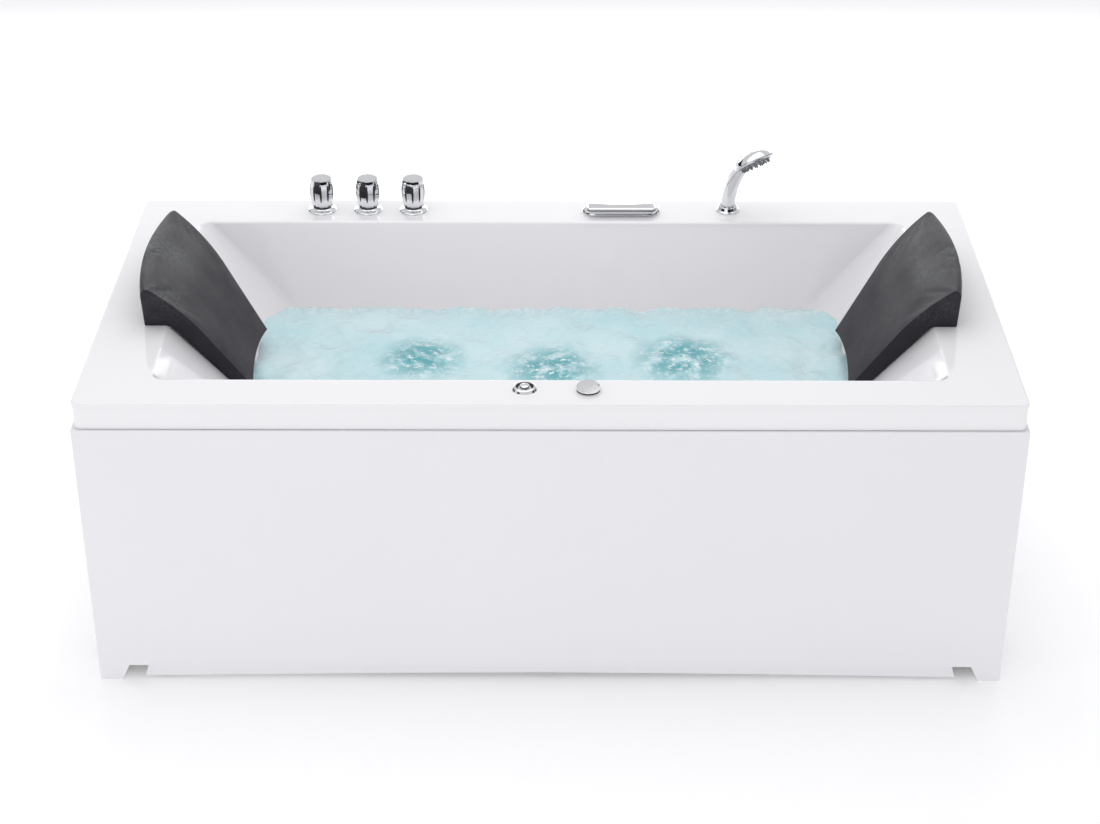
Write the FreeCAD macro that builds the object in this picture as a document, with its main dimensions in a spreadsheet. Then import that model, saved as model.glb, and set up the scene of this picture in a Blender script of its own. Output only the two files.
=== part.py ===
"""Jetted bathtub for two, 1800 x 900 mm, with rim taps, waterfall spout, hand shower and headrests.

Millimetres. Origin on the floor below the middle of the tub, +X along its length, the front apron
faces -Y and +Z is up. Every sub-part is one object of the document, bound to the Sizes sheet.
"""
import FreeCAD, Part
import math
import os
import re

import Sketcher

V = FreeCAD.Vector

SIZES = {
    # overall
    "tub_length": 1800, "tub_width": 900, "rim_height": 636, "panel_proud": 4,
    # acrylic shell: flat deck, turned-down lip, basin
    "shell_wall": 8, "lip_height": 56, "bead_height": 7, "bead_step": 1.5, "rim_corner": 12,
    "rim_round": 4, "front_rim": 95, "back_rim": 110, "end_rim": 136, "opening_corner": 25,
    "opening_round": 7, "basin_depth": 450, "floor_length": 940, "floor_width": 480,
    "floor_corner": 120, "floor_round": 70, "lumbar_swell": 20, "wall_spread": 1,
    # apron and end panels
    "panel_wall": 5, "panel_depth": 28, "panel_gap": 1, "foot_width": 44, "notch_width": 38,
    "notch_height": 34, "notch_lean": 16, "strip_set_back": 3, "strip_end_gap": 6, "strip_arch": 10,
    # steel frame and feet
    "tube_side": 30, "tube_wall": 2, "rail_under": 130, "rail_y": 400, "corner_x": 800,
    "board_x": 450, "drain_bay_x": 200, "pump_bay_x": 600, "front_post_x": 300, "board_thick": 18,
    "board_width": 500, "board_length": 960, "foot_x": 760, "foot_pad_r": 20, "foot_stem_r": 6,
    "foot_nut_side": 19, "foot_nut_high": 10, "bracket_wall": 3,
    # fits and clearances
    "run_gap": 0.05, "slide_gap": 0.2, "seat_gap": 0.3, "hole_gap": 1,
    # headrests
    "rest_mid_y": 23, "rest_half": 186, "rest_thick": 33, "rest_rise": 90, "rest_base": 40,
    "rest_low_z": 464, "rest_low_bow": 12, "rest_top_bow": 18, "peg_r": 4.7, "peg_spread": 90,
    "peg_long": 15,
    # taps on the back rim
    "tap_y": 399, "hot_x": -500, "cold_x": -400, "divert_x": -301, "tap_flange_r": 31,
    "tap_neck_r": 19, "tap_neck_high": 13, "knob_low": 14, "knob_high": 61, "knob_low_r": 21,
    "knob_mid_r": 26, "knob_top_r": 22.5, "flute_r": 3, "spindle_r": 6, "shank_r": 11, "valve_r": 17,
    "valve_long": 52, "thread_r": 10.48, "thread_long": 15, "nut_side": 32, "nut_high": 8,
    "boss_r": 11, "boss_long": 24, "mixer_pipe_r": 8, "mixer_drop": 36,
    # waterfall spout
    "spout_x": 152, "spout_width": 150, "spout_reach": 46, "spout_high": 34, "spout_base_w": 176,
    "spout_base_d": 60, "spout_base_high": 6, "slot_high": 4, "spout_end_r": 9,
    # hand shower
    "shower_x": 385, "shower_y": 400, "shower_turn": 50, "holder_r": 26, "collar_r": 20,
    "collar_high": 13, "holder_bore_r": 13.5, "holder_tube_r": 17, "holder_drop": 46,
    "handle_r": 16, "handle_rise": 104, "handle_lean": 45, "head_r": 45, "head_tip": 38,
    "head_dome": 27, "face_r": 37, "face_dome": 7, "nozzle_high": 3,
    # controls on the front rim
    "button_x": -48, "button_y": -387, "button_ring_r": 24, "button_r": 9.5, "button_travel": 4,
    "control_shank_r": 14, "control_drop": 44, "regulator_x": 72, "regulator_y": -394,
    "regulator_r": 22.5, "regulator_high": 9,
    # waste and overflow
    "drain_x": 131, "drain_y": -120, "drain_r": 35, "drain_hole_r": 26, "tail_r": 24,
    "plug_r": 29, "overflow_z": 545, "overflow_r": 36, "overflow_knob_r": 28, "overflow_pipe_r": 13,
    "waste_pipe_r": 20, "waste_z": 86, "overflow_low_z": 108, "socket_deep": 8, "plug_stem_r": 4,
    "knob_stem_r": 6, "outlet_drop": 34, "shoe_arm": 44, "trap_run": 110, "outlet_in": 20,
    "outlet_length": 40, "union_long": 30,
    # wall jets and suction
    "jet_pitch": 262, "jet_z": 336, "jet_flange_r": 33, "jet_hole_r": 24, "ball_r": 14,
    "nozzle_bore_r": 5, "barrel_r": 20, "barrel_half": 36, "barrel_out": 45, "jet_pipe_r": 16,
    "jet_throat_r": 7, "ball_back": 4, "air_pipe_r": 6, "air_rise": 26, "air_barb_half": 30,
    "suction_x": 360, "suction_z": 285, "suction_r": 42, "suction_hole_r": 30,
    "suction_pipe_r": 20, "header_x": 615, "tee_arm": 24, "loop_x": 640, "switch_tube_r": 3,
    "switch_tube_drop": 60, "switch_tube_y": -365, "switch_tube_x": 760,
    # pump
    "pump_x": 700, "pump_y": -150, "volute_r": 66, "volute_long": 62, "inlet_long": 26,
    "discharge_in": 22, "impeller_r": 48, "motor_r": 60, "motor_long": 210,
    "fin_high": 5, "shaft_r": 7, "box_half": 34, "box_high": 40, "mount_r": 15, "mount_high": 16,
    "plate_thick": 4,
}

PLACES = {
    "rim_front": "-(tub_width/2 - panel_proud)", "rim_back": "tub_width/2",
    "rim_side": "tub_length/2 - panel_proud", "rim_mid_y": "(rim_front + rim_back)/2",
    "lip_bottom": "rim_height - lip_height", "deck_under": "rim_height - shell_wall",
    "opening_x": "rim_side - end_rim", "opening_front": "rim_front + front_rim",
    "opening_back": "rim_back - back_rim", "opening_width": "opening_back - opening_front",
    "basin_y": "(opening_front + opening_back)/2", "floor_z": "rim_height - basin_depth",
    "basin_bottom": "floor_z - shell_wall",
    "side_slope": "(opening_width - floor_width)/(2*basin_depth)",
    "end_run": "opening_x - floor_length/2",
    "wall_out": "shell_wall + wall_spread",
    "panel_top": "lip_bottom - panel_gap", "panel_front": "-tub_width/2",
    "panel_side": "tub_length/2", "side_panel_front": "panel_front + panel_depth + panel_gap",
    "rail_top": "rail_under + tube_side", "post_high": "deck_under - rail_top",
    "jet_front_y": "opening_front + side_slope*(rim_height - jet_z)",
    "jet_back_y": "opening_back - side_slope*(rim_height - jet_z)",
    "overflow_y": "opening_front + side_slope*(rim_height - overflow_z)",
    "suction_y": "opening_front + side_slope*(rim_height - suction_z)",
    "barrel_drop": "barrel_out*sin(atan(side_slope))", "barrel_run": "barrel_out*cos(atan(side_slope))",
    "line_z": "jet_z - barrel_drop", "front_line_y": "jet_front_y - barrel_run",
    "back_line_y": "jet_back_y + barrel_run",
    "suction_line_z": "suction_z - barrel_drop", "suction_line_y": "suction_y - barrel_run",
    "overflow_line_y": "front_line_y - jet_pipe_r - overflow_pipe_r - hole_gap*2",
    "overflow_deep": "(overflow_y - overflow_line_y)/cos(atan(side_slope))",
    "overflow_line_z": "overflow_z - overflow_deep*sin(atan(side_slope))",
    "pump_z": "suction_line_z", "discharge_y": "pump_y - discharge_in",
    "switch_line_z": "rim_height - switch_tube_drop",
    "mixer_z": "deck_under - mixer_drop", "valve_top": "deck_under - nut_high",
    "valve_low": "valve_top - valve_long", "plate_top": "rail_top + plate_thick",
    "pump_base": "plate_top + mount_high", "knob_z": "rim_height + knob_low",
    "rest_seat": "rim_height + seat_gap", "rest_out": "opening_x + 44",
    "neck_top": "rim_height + tap_neck_high",
}

NAME = re.compile(r"[a-z][a-z0-9_]*")
SQUARE_TO_FRONT_WALL = ("X", "atan(side_slope) - 90 deg")
SQUARE_TO_BACK_WALL = ("X", "90 deg - atan(side_slope)")
AXES = {"X": V(1, 0, 0), "Y": V(0, 1, 0), "Z": V(0, 0, 1)}

doc = FreeCAD.newDocument("jetted_bathtub")
sheet = doc.addObject("Spreadsheet::Sheet", "Sizes")
for row, (alias, size) in enumerate(SIZES.items(), start=1):
    sheet.set(f"A{row}", alias)
    sheet.set(f"B{row}", str(size))
    sheet.setAlias(f"B{row}", alias)
doc.recompute()
nodes = []


# ---------------------------------------------------------------- formulas, sketches and features
def bound(text):
    """The formula with each place written out and each size read from the sheet."""
    def swap(found):
        name = found.group(0)
        if name in PLACES:
            return "(" + bound(PLACES[name]) + ")"
        return "Sizes." + name if name in SIZES else name
    return NAME.sub(swap, str(text))


def number(text):
    """The formula's value now."""
    found = sheet.evalExpression(bound(text))
    return float(getattr(found, "Value", found))


def bind(thing, prop, text):
    thing.setExpression(prop, bound(text))


def place(thing, x="0", y="0", z="0", turn=None):
    """Bind a placement: a point and, where turn is given, one turn about a main axis."""
    if turn:
        thing.Placement.Rotation = FreeCAD.Rotation(AXES[turn[0]], number(turn[1]) or 1e-9)
        bind(thing, "Placement.Rotation.Angle", turn[1])
    for axis, text in zip("xyz", (x, y, z)):
        bind(thing, f"Placement.Base.{axis}", text)
    return thing


def keep(thing, label):
    """Name the object after its node and put it on the list of sub-parts."""
    thing.Label = label
    nodes.append(thing)
    return thing


def new_body(name):
    return doc.addObject("PartDesign::Body", name)


def new_sketch(body, plane="XY", shift="0", across="0", tilt=None):
    """A sketch on the body's own origin plane, shifted along its normal and tilted about its Y."""
    sketch = body.newObject("Sketcher::SketchObject", "Outline")
    origin = [part for part in body.Origin.OriginFeatures if part.Role == plane + "_Plane"][0]
    sketch.AttachmentSupport = [(origin, "")]
    sketch.MapMode = "FlatFace"
    if tilt:
        sketch.AttachmentOffset = FreeCAD.Placement(V(), FreeCAD.Rotation(V(0, 1, 0), number(tilt)))
        bind(sketch, "AttachmentOffset.Rotation.Angle", tilt)
    bind(sketch, "AttachmentOffset.Base.z", shift)
    bind(sketch, "AttachmentOffset.Base.x", across)
    return sketch


def arc_between(start, end, radius):
    """The short arc from start to end; a positive radius turns left, a negative one right."""
    chord = end - start
    reach = math.sqrt(max(radius * radius - chord.Length ** 2 / 4, 0))
    side = V(-chord.y, chord.x, 0).normalize()
    centre = (start + end) * 0.5 + side * (reach if radius > 0 else -reach)
    first, last = (start, end) if radius > 0 else (end, start)
    angles = [math.atan2(point.y - centre.y, point.x - centre.x) for point in (first, last)]
    return Part.ArcOfCircle(Part.Circle(centre, V(0, 0, 1), abs(radius)), *angles)


def outline(sketch, corners):
    """A closed outline. A corner is (x, y), or (x, y, radius) where an arc leads to it."""
    points = [V(number(corner[0]), number(corner[1]), 0) for corner in corners]
    first = sketch.GeometryCount
    ends = []
    for place_in, corner in enumerate(corners):
        start, end = points[place_in - 1], points[place_in]
        if len(corner) == 3:
            radius = number(corner[2])
            sketch.addGeometry(arc_between(start, end, radius))
            ends.append((1, 2) if radius > 0 else (2, 1))
        else:
            sketch.addGeometry(Part.LineSegment(start, end))
            ends.append((1, 2))
    count = len(corners)
    for place_in, corner in enumerate(corners):
        edge, after = first + place_in, first + (place_in + 1) % count
        finish = ends[place_in][1]
        opening = ends[(place_in + 1) % count][0]
        sketch.addConstraint(Sketcher.Constraint("Coincident", edge, finish, after, opening))
        for kind, text, now in (("DistanceX", corner[0], points[place_in].x),
                                ("DistanceY", corner[1], points[place_in].y)):
            rule = sketch.addConstraint(Sketcher.Constraint(kind, edge, finish, now))
            bind(sketch, f"Constraints[{rule}]", text)
        if len(corner) == 3:
            radius = number(corner[2])
            rule = sketch.addConstraint(Sketcher.Constraint("Radius", edge, abs(radius)))
            bind(sketch, f"Constraints[{rule}]", corner[2] if radius > 0 else f"-({corner[2]})")
    return sketch


def circle(sketch, radius, x="0", y="0"):
    edge = sketch.addGeometry(Part.Circle(V(number(x), number(y), 0), V(0, 0, 1), number(radius)))
    for kind, text in (("DistanceX", x), ("DistanceY", y)):
        rule = sketch.addConstraint(Sketcher.Constraint(kind, edge, 3, number(text)))
        bind(sketch, f"Constraints[{rule}]", text)
    rule = sketch.addConstraint(Sketcher.Constraint("Radius", edge, number(radius)))
    bind(sketch, f"Constraints[{rule}]", radius)
    return sketch


def rounded_box(sketch, x, y, half_x, half_y, radius):
    """A rectangle about (x, y) with four quarter-round corners."""
    right, left = f"{x} + {half_x}", f"{x} - ({half_x})"
    back, front = f"{y} + {half_y}", f"{y} - ({half_y})"
    return outline(sketch, [
        (f"{right} - ({radius})", front), (right, f"{front} + {radius}", radius),
        (right, f"{back} - ({radius})"), (f"{right} - ({radius})", back, radius),
        (f"{left} + {radius}", back), (left, f"{back} - ({radius})", radius),
        (left, f"{front} + {radius}"), (f"{left} + {radius}", front, radius),
    ])


def polygon(sketch, radius, sides, turn=0.0):
    """A regular polygon whose corners lie on the radius."""
    angles = [turn + 360 * side / sides for side in range(sides)]
    return outline(sketch, [(f"({radius})*cos({a:g} deg)", f"({radius})*sin({a:g} deg)") for a in angles])


def pad(body, sketch, length, back=False, both=False):
    feature = body.newObject("PartDesign::Pad", "Pad")
    feature.Profile = sketch
    bind(feature, "Length", length)
    feature.Reversed = back
    feature.SideType = "Symmetric" if both else "One side"
    return feature


def pocket(body, sketch, length=None, back=False, both=False):
    """Cut the sketch to a depth or, with no length, right through."""
    feature = body.newObject("PartDesign::Pocket", "Pocket")
    feature.Profile = sketch
    feature.Type = "Length" if length else "ThroughAll"
    if length:
        bind(feature, "Length", length)
    feature.Reversed = back
    feature.SideType = "Symmetric" if both else "One side"
    return feature


def turned(body, corners, cut=False, plane="XZ"):
    """Revolve an outline of (radius, height) corners about the body's vertical axis."""
    sketch = outline(new_sketch(body, plane), corners)
    feature = body.newObject("PartDesign::Groove" if cut else "PartDesign::Revolution", "Turned")
    feature.Profile = sketch
    feature.ReferenceAxis = (sketch, ["V_Axis"])
    feature.Angle = 360
    return feature


def loft(body, sketches, cut=False, ruled=False):
    feature = body.newObject("PartDesign::SubtractiveLoft" if cut else "PartDesign::AdditiveLoft", "Loft")
    feature.Profile = sketches[0]
    feature.Sections = sketches[1:]
    feature.Ruled = ruled
    return feature


def around(body, feature, count):
    """Repeat a feature round the body's vertical axis."""
    pattern = body.newObject("PartDesign::PolarPattern", "Around")
    pattern.Originals = [feature]
    axis = [part for part in body.Origin.OriginFeatures if part.Role == "Z_Axis"][0]
    pattern.Axis = (axis, [""])
    pattern.Angle = 360
    pattern.Occurrences = count
    body.Tip = pattern
    return pattern


def rounded(body, feature, radius, wanted):
    """Round the edges of a feature for which wanted(edge) is true."""
    doc.recompute()
    names = [f"Edge{i}" for i, edge in enumerate(feature.Shape.Edges, start=1) if wanted(edge)]
    fillet = body.newObject("PartDesign::Fillet", "Round")
    fillet.Base = (feature, names)
    bind(fillet, "Radius", radius)
    return fillet


def level(edge, height):
    """True for an edge that lies flat at this height."""
    box = edge.BoundBox
    return abs(box.ZMin - height) < 0.01 and abs(box.ZMax - height) < 0.01


def cylinder(name, radius, height, x="0", y="0", z="0", turn=None):
    rod = doc.addObject("Part::Cylinder", name)
    bind(rod, "Radius", radius)
    bind(rod, "Height", height)
    return place(rod, x, y, z, turn)


def box(name, length, width, height, x, y, z):
    """A block whose lowest corner is at (x, y, z)."""
    block = doc.addObject("Part::Box", name)
    for prop, text in (("Length", length), ("Width", width), ("Height", height)):
        bind(block, prop, text)
    return place(block, x, y, z)


def cut(name, base, tools):
    """The base less every tool."""
    result = doc.addObject("Part::Cut", name)
    result.Base = base
    result.Tool = tools[0] if len(tools) == 1 else group(name + "_tools", tools)
    return result


def fuse(name, pieces):
    result = doc.addObject("Part::MultiFuse", name)
    result.Shapes = pieces
    return result


def group(name, pieces):
    """Separate solids that share one node."""
    result = doc.addObject("Part::Compound", name)
    result.Links = pieces
    return result


# ---------------------------------------------------------------- shell
def basin_section(body, share, grow, drop):
    """The basin's outline at a share of its depth; the end walls swell in where a back leans."""
    swell = math.sin(math.pi * share)
    deep = f"(basin_depth + ({drop}))*{share}"
    half_x = f"opening_x - end_run*{deep}/basin_depth - lumbar_swell*{swell:.4f} + ({grow})"
    half_y = f"opening_width/2 - side_slope*{deep} + ({grow})"
    corner = f"opening_corner + (floor_corner - opening_corner)*{share} + ({grow})"
    return rounded_box(new_sketch(body, "XY", f"rim_height - {deep}"), "0", "basin_y", half_x, half_y, corner)


def tub_shell():
    """Vacuum-formed acrylic: deck, beaded lip and the lofted basin, with a hole for each fitting."""
    body = new_body("shell_blank")
    deep = "rim_mid_y"
    half_y = "(rim_back - rim_front)/2"
    skirt = rounded_box(new_sketch(body, "XY", "lip_bottom"), "0", deep, "rim_side - bead_step",
                        f"{half_y} - bead_step", "rim_corner")
    pad(body, skirt, "lip_height")
    bead = rounded_box(new_sketch(body, "XY", "rim_height - bead_height"), "0", deep, "rim_side",
                       half_y, "rim_corner")
    deck = pad(body, bead, "bead_height")
    deck = rounded(body, deck, "rim_round", lambda edge: level(edge, number("rim_height")))
    under = rounded_box(new_sketch(body, "XY", "lip_bottom"), "0", deep, "rim_side - shell_wall",
                        f"{half_y} - shell_wall", "rim_corner")
    pocket(body, under, "lip_height - shell_wall", back=True)
    shares = (0.0, 0.3, 0.62, 0.86, 1.0)
    outside = loft(body, [basin_section(body, share, "wall_out", "shell_wall") for share in shares])
    rounded(body, outside, "floor_round + shell_wall", lambda edge: level(edge, number("basin_bottom")))
    cavity = new_body("basin_cavity")
    inside = loft(cavity, [basin_section(cavity, share, "0", "0") for share in shares])
    rounded(cavity, inside, "floor_round", lambda edge: level(edge, number("floor_z")))
    hollow = body.newObject("PartDesign::Boolean", "Hollow")
    hollow.Type = "Cut"
    hollow.setObjects([cavity])
    body.Tip = hollow
    reach = number("opening_x") + 1
    rounded(body, hollow, "opening_round",
            lambda edge: level(edge, number("rim_height")) and edge.BoundBox.XMax < reach
            and edge.BoundBox.XMin > -reach)
    deck_holes = [("shank_r + hole_gap", name + "_x", "tap_y") for name in ("hot", "cold", "divert")]
    deck_holes += [("shank_r + hole_gap", "spout_x", "tap_y"),
                   ("holder_tube_r + hole_gap", "shower_x", "shower_y"),
                   ("control_shank_r + hole_gap", "button_x", "button_y"),
                   ("control_shank_r + hole_gap", "regulator_x", "regulator_y")]
    deck_holes += [("peg_r + seat_gap", peg_x(side), peg_y(way)) for side in (-1, 1) for way in (-1, 1)]
    tools = [cylinder("deck_hole", radius, "shell_wall*2", x, y, "rim_height - shell_wall*1.5")
             for radius, x, y in deck_holes]
    tools.append(cylinder("drain_hole", "drain_hole_r + hole_gap", "shell_wall*2", "drain_x",
                          "drain_y", "basin_bottom - shell_wall/2"))
    wall_holes = [("jet_hole_r + hole_gap", x, y, "jet_z", turn) for x, y, turn in jet_seats()]
    wall_holes += [("overflow_pipe_r + hole_gap", "drain_x", "overflow_y", "overflow_z", SQUARE_TO_FRONT_WALL),
                   ("suction_hole_r + hole_gap", "suction_x", "suction_y", "suction_z", SQUARE_TO_FRONT_WALL)]
    tools += [centred_rod("wall_hole", *hole) for hole in wall_holes]
    return keep(cut("tub_shell", body, tools), "tub_shell")


def centred_rod(name, radius, x, y, z, turn):
    """A rod through a wall, half of it on each side of the wall's inner face."""
    rod = cylinder(name + "_rod", radius, "shell_wall*4")
    rod.Placement = FreeCAD.Placement(V(), FreeCAD.Rotation())
    bind(rod, "Placement.Base.z", "-shell_wall*2")
    return place(group(name, [rod]), x, y, z, turn)


def peg_x(side):
    return f"({side})*(rest_out - rest_base/2)"


def peg_y(way):
    return f"rest_mid_y + ({way})*peg_spread"


def jet_seats():
    """Three jets on each long wall: their places and how they turn to stand square to it."""
    spots = ("-jet_pitch", "0", "jet_pitch")
    front = [(x, "jet_front_y", SQUARE_TO_FRONT_WALL) for x in spots]
    return front + [(x, "jet_back_y", SQUARE_TO_BACK_WALL) for x in spots]


# ---------------------------------------------------------------- panels
def panel_outline(sketch, half, middle):
    """Panel face: corner feet, a leaning notch beside each foot and an arched lower edge between."""
    left, right = f"{middle} - ({half})", f"{middle} + {half}"
    foot = "foot_width"
    inner = "foot_width + notch_lean + notch_width"
    low = "strip_end_gap"
    chord = f"({half} - {inner} + notch_lean/2)"
    arch = f"(({chord})^2 + strip_arch^2)/(2*strip_arch)"
    return outline(sketch, [
        (left, "panel_top"), (left, "0"), (f"{left} + {foot}", "0"),
        (f"{left} + {foot} + notch_lean", "notch_height"), (f"{left} + {inner}", "notch_height"),
        (f"{left} + {inner} - notch_lean/2", low), (middle, f"{low} + strip_arch", f"-({arch})"),
        (f"{right} - ({inner}) + notch_lean/2", low, f"-({arch})"),
        (f"{right} - ({inner})", "notch_height"),
        (f"{right} - {foot} - notch_lean", "notch_height"), (f"{right} - {foot}", "0"),
        (right, "0"), (right, "panel_top"),
    ])


def panel(name, plane, half, middle, face, inward):
    """A pan-shaped panel: a face with its edges turned in, hollow behind."""
    body = new_body(name)
    towards = "panel_depth" if inward > 0 else "-panel_depth"
    shift = face if plane == "YZ" else f"-({face})"
    sign = 1 if plane == "YZ" else -1
    skin = panel_outline(new_sketch(body, plane, shift), half, middle)
    pad(body, skin, "panel_depth", back=inward * sign < 0)
    hollow = outline(new_sketch(body, plane, f"{shift} + {sign}*({towards})"), [
        (f"{middle} - ({half}) + panel_wall", "notch_height + panel_wall"),
        (f"{middle} + {half} - panel_wall", "notch_height + panel_wall"),
        (f"{middle} + {half} - panel_wall", "panel_top - panel_wall"),
        (f"{middle} - ({half}) + panel_wall", "panel_top - panel_wall")])
    pocket(body, hollow, "panel_depth - panel_wall", back=inward * sign < 0)
    inner = "foot_width + notch_lean + notch_width"
    strip = outline(new_sketch(body, plane, shift), [
        (f"{middle} - ({half}) + {inner} - notch_lean", "-1"),
        (f"{middle} + {half} - ({inner}) + notch_lean", "-1"),
        (f"{middle} + {half} - ({inner}) + notch_lean", "notch_height"),
        (f"{middle} - ({half}) + {inner} - notch_lean", "notch_height")])
    pocket(body, strip, "strip_set_back", back=inward * sign > 0)
    return keep(body, name)


def panels():
    panel("front_apron", "XZ", "panel_side", "0", "panel_front", 1)
    half = "(rim_back - side_panel_front)/2"
    middle = "(rim_back + side_panel_front)/2"
    panel("left_end_panel", "YZ", half, middle, "-panel_side", 1)
    panel("right_end_panel", "YZ", half, middle, "panel_side", -1)


def bracket(name, x, y, z, run, turn):
    """An angle bracket from a frame post out to the back of a panel."""
    body = new_body(name)
    profile = outline(new_sketch(body, "XZ"), [
        ("0", "0"), (run, "0"), (run, "tube_side"), (f"{run} - bracket_wall", "tube_side"),
        (f"{run} - bracket_wall", "bracket_wall"), ("0", "bracket_wall")])
    pad(body, profile, "tube_side", both=True)
    return place(body, x, y, z, turn)


def panel_brackets():
    post_face = "rail_y + tube_side/2"
    front_run = "tub_width/2 - panel_wall - rail_y - tube_side/2"
    side_run = "panel_side - panel_wall - corner_x - tube_side/2"
    pieces = []
    for level_z in ("rail_top + tube_side", "panel_top - panel_wall - tube_side*2"):
        for x in ("-corner_x", "-front_post_x", "front_post_x", "corner_x"):
            pieces.append(bracket("front_bracket", x, f"-({post_face})", level_z, front_run, ("Z", "-90")))
        for y in ("-rail_y", "rail_y"):
            reach = "corner_x + tube_side/2"
            pieces.append(bracket("right_bracket", reach, y, level_z, side_run, None))
            pieces.append(bracket("left_bracket", f"-({reach})", y, level_z, side_run, ("Z", "180")))
    return keep(group("panel_brackets", pieces), "panel_brackets")


# ---------------------------------------------------------------- frame and feet
def tube(name, length, x, y, z, turn=None):
    """A square steel tube that runs along +X from its place, about its own middle line."""
    body = new_body(name)
    ring = new_sketch(body, "YZ")
    half = "tube_side/2"
    inside = "tube_side/2 - tube_wall"
    for side in (half, inside):
        outline(ring, [(side, side), (f"-({side})", side), (f"-({side})", f"-({side})"), (side, f"-({side})")])
    pad(body, ring, length)
    return place(body, x, y, z, turn)


def base_frame():
    """Long rails, cross members and posts of galvanised tube, drilled for the feet."""
    middle = "rail_under + tube_side/2"
    long_run = "corner_x*2 + tube_side"
    start = "-(corner_x + tube_side/2)"
    members = []
    for way in (-1, 1):
        rail = tube("long_rail", long_run, start, f"({way})*rail_y", middle)
        drills = [cylinder("foot_hole", "foot_stem_r + run_gap", "tube_side*2", x, f"({way})*rail_y",
                           "rail_under - tube_side/2") for x in ("-foot_x", "0", "foot_x")]
        members.append(cut("drilled_rail", rail, drills))
    span = "rail_y*2 - tube_side"
    for x in ("-corner_x", "-board_x", "-drain_bay_x", "drain_bay_x", "board_x", "pump_bay_x", "corner_x"):
        members.append(tube("cross_member", span, x, "-(rail_y - tube_side/2)", middle, ("Z", "90")))
    for x in ("-corner_x", "-front_post_x", "front_post_x", "corner_x"):
        members.append(tube("front_post", "post_high", x, "-rail_y", "rail_top", ("Y", "-90")))
    for x in ("-corner_x", "corner_x"):
        members.append(tube("back_post", "post_high", x, "rail_y", "rail_top", ("Y", "-90")))
    return keep(group("base_frame", members), "base_frame")


def support_board():
    """Marine plywood under the basin floor, with a hole for the waste tail."""
    body = new_body("support_board")
    sheet_of_ply = new_sketch(body, "XY", "rail_top")
    rounded_box(sheet_of_ply, "0", "basin_y", "board_length/2", "board_width/2", "floor_corner/2")
    circle(sheet_of_ply, "tail_r + hole_gap*4", "drain_x", "drain_y")
    pad(body, sheet_of_ply, "basin_bottom - rail_top")
    return keep(body, "support_board")


def foot_seats():
    return [(x, y) for y in ("-rail_y", "rail_y") for x in ("-foot_x", "0", "foot_x")]


def levelling_feet():
    """Screw feet through the long rails: a pad, a swivel dome and a stem."""
    for count, (x, y) in enumerate(foot_seats(), start=1):
        body = new_body(f"levelling_foot_{count}")
        turned(body, [("0", "0"), ("foot_pad_r", "0"), ("foot_pad_r", "4"), ("foot_stem_r + 5", "9"),
                      ("foot_stem_r + 5", "16"), ("foot_stem_r", "18"), ("foot_stem_r", "rail_top + 9"),
                      ("foot_stem_r - 1.5", "rail_top + 10.5"), ("0", "rail_top + 10.5")])
        keep(place(body, x, y), f"levelling_foot_{count}")


def hex_nut(name, across, height, bore, x, y, z):
    """A hexagon nut about a vertical shank, chamfered at both faces."""
    body = new_body(name)
    blank = new_sketch(body, "XY")
    polygon(blank, f"({across})/2/cos(30 deg)", 6)
    circle(blank, bore)
    pad(body, blank, height)
    edge = f"({across})/2"
    corner = f"({across})/2/cos(30 deg)"
    for low, high in (("0", "1.2"), (height, f"{height} - 1.2")):
        turned(body, [(f"{edge} + 0.2", low), (f"{corner} + 1", low), (f"{corner} + 1", high),
                      (f"{corner} + 0.1", high)], cut=True)
    return place(body, x, y, z)


def foot_lock_nuts():
    nuts = [hex_nut("foot_nut", "foot_nut_side", "foot_nut_high", "foot_stem_r + run_gap", x, y,
                    "rail_under - foot_nut_high") for x, y in foot_seats()]
    return keep(group("foot_lock_nuts", nuts), "foot_lock_nuts")


def deck_lock_nuts():
    """The nuts that clamp every deck fitting from below."""
    spots = [(name + "_x", "tap_y", "shank_r + run_gap", "nut_side") for name in ("hot", "cold", "divert")]
    spots += [("spout_x", "tap_y", "shank_r + run_gap", "nut_side"),
              ("shower_x", "shower_y", "holder_tube_r + run_gap", "nut_side + 14"),
              ("button_x", "button_y", "control_shank_r + run_gap", "nut_side + 6"),
              ("regulator_x", "regulator_y", "control_shank_r + run_gap", "nut_side + 6")]
    nuts = [hex_nut("deck_nut", across, "nut_high", bore, x, y, "deck_under - nut_high")
            for x, y, bore, across in spots]
    return keep(group("deck_lock_nuts", nuts), "deck_lock_nuts")


# ---------------------------------------------------------------- headrests
def wall_reach(height):
    """How far out the end wall's inner face lies at a height, along the tub."""
    share = f"((rim_height - ({height}))/basin_depth)"
    return f"(opening_x - end_run*{share} - lumbar_swell*sin(180 deg*{share}))"


def rest_section(body, share):
    """The headrest's side view at a share of its half width: crest, leaning face, wall side."""
    bow = 1 - share * share
    out = f"(rest_out + rest_top_bow*{bow:g})"
    crest = f"(rest_seat + rest_rise + 6*{bow:g})"
    low_z = f"(rest_low_z + rest_low_bow*{bow:g})"
    off = "seat_gap*6"
    sketch = new_sketch(body, "XZ", f"-(rest_mid_y + rest_half*({share}))")
    wall_low, wall_mid = wall_reach(low_z), wall_reach("rim_height - 90")
    return outline(sketch, [
        ("opening_x + 2", "rest_seat"), (out, "rest_seat"), (out, f"{crest} - 12"),
        (f"{out} - 16", crest, "18"),
        (f"{wall_mid} - rest_thick", "rim_height - 82", "420"),
        (f"{wall_low} - rest_thick + 5", f"{low_z} + 10"),
        (f"{wall_low} - {off}", low_z), (f"{wall_mid} - {off}", "rim_height - 90"),
        (f"opening_x - opening_round - {off}", "rim_height - opening_round/2"),
    ])


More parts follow.
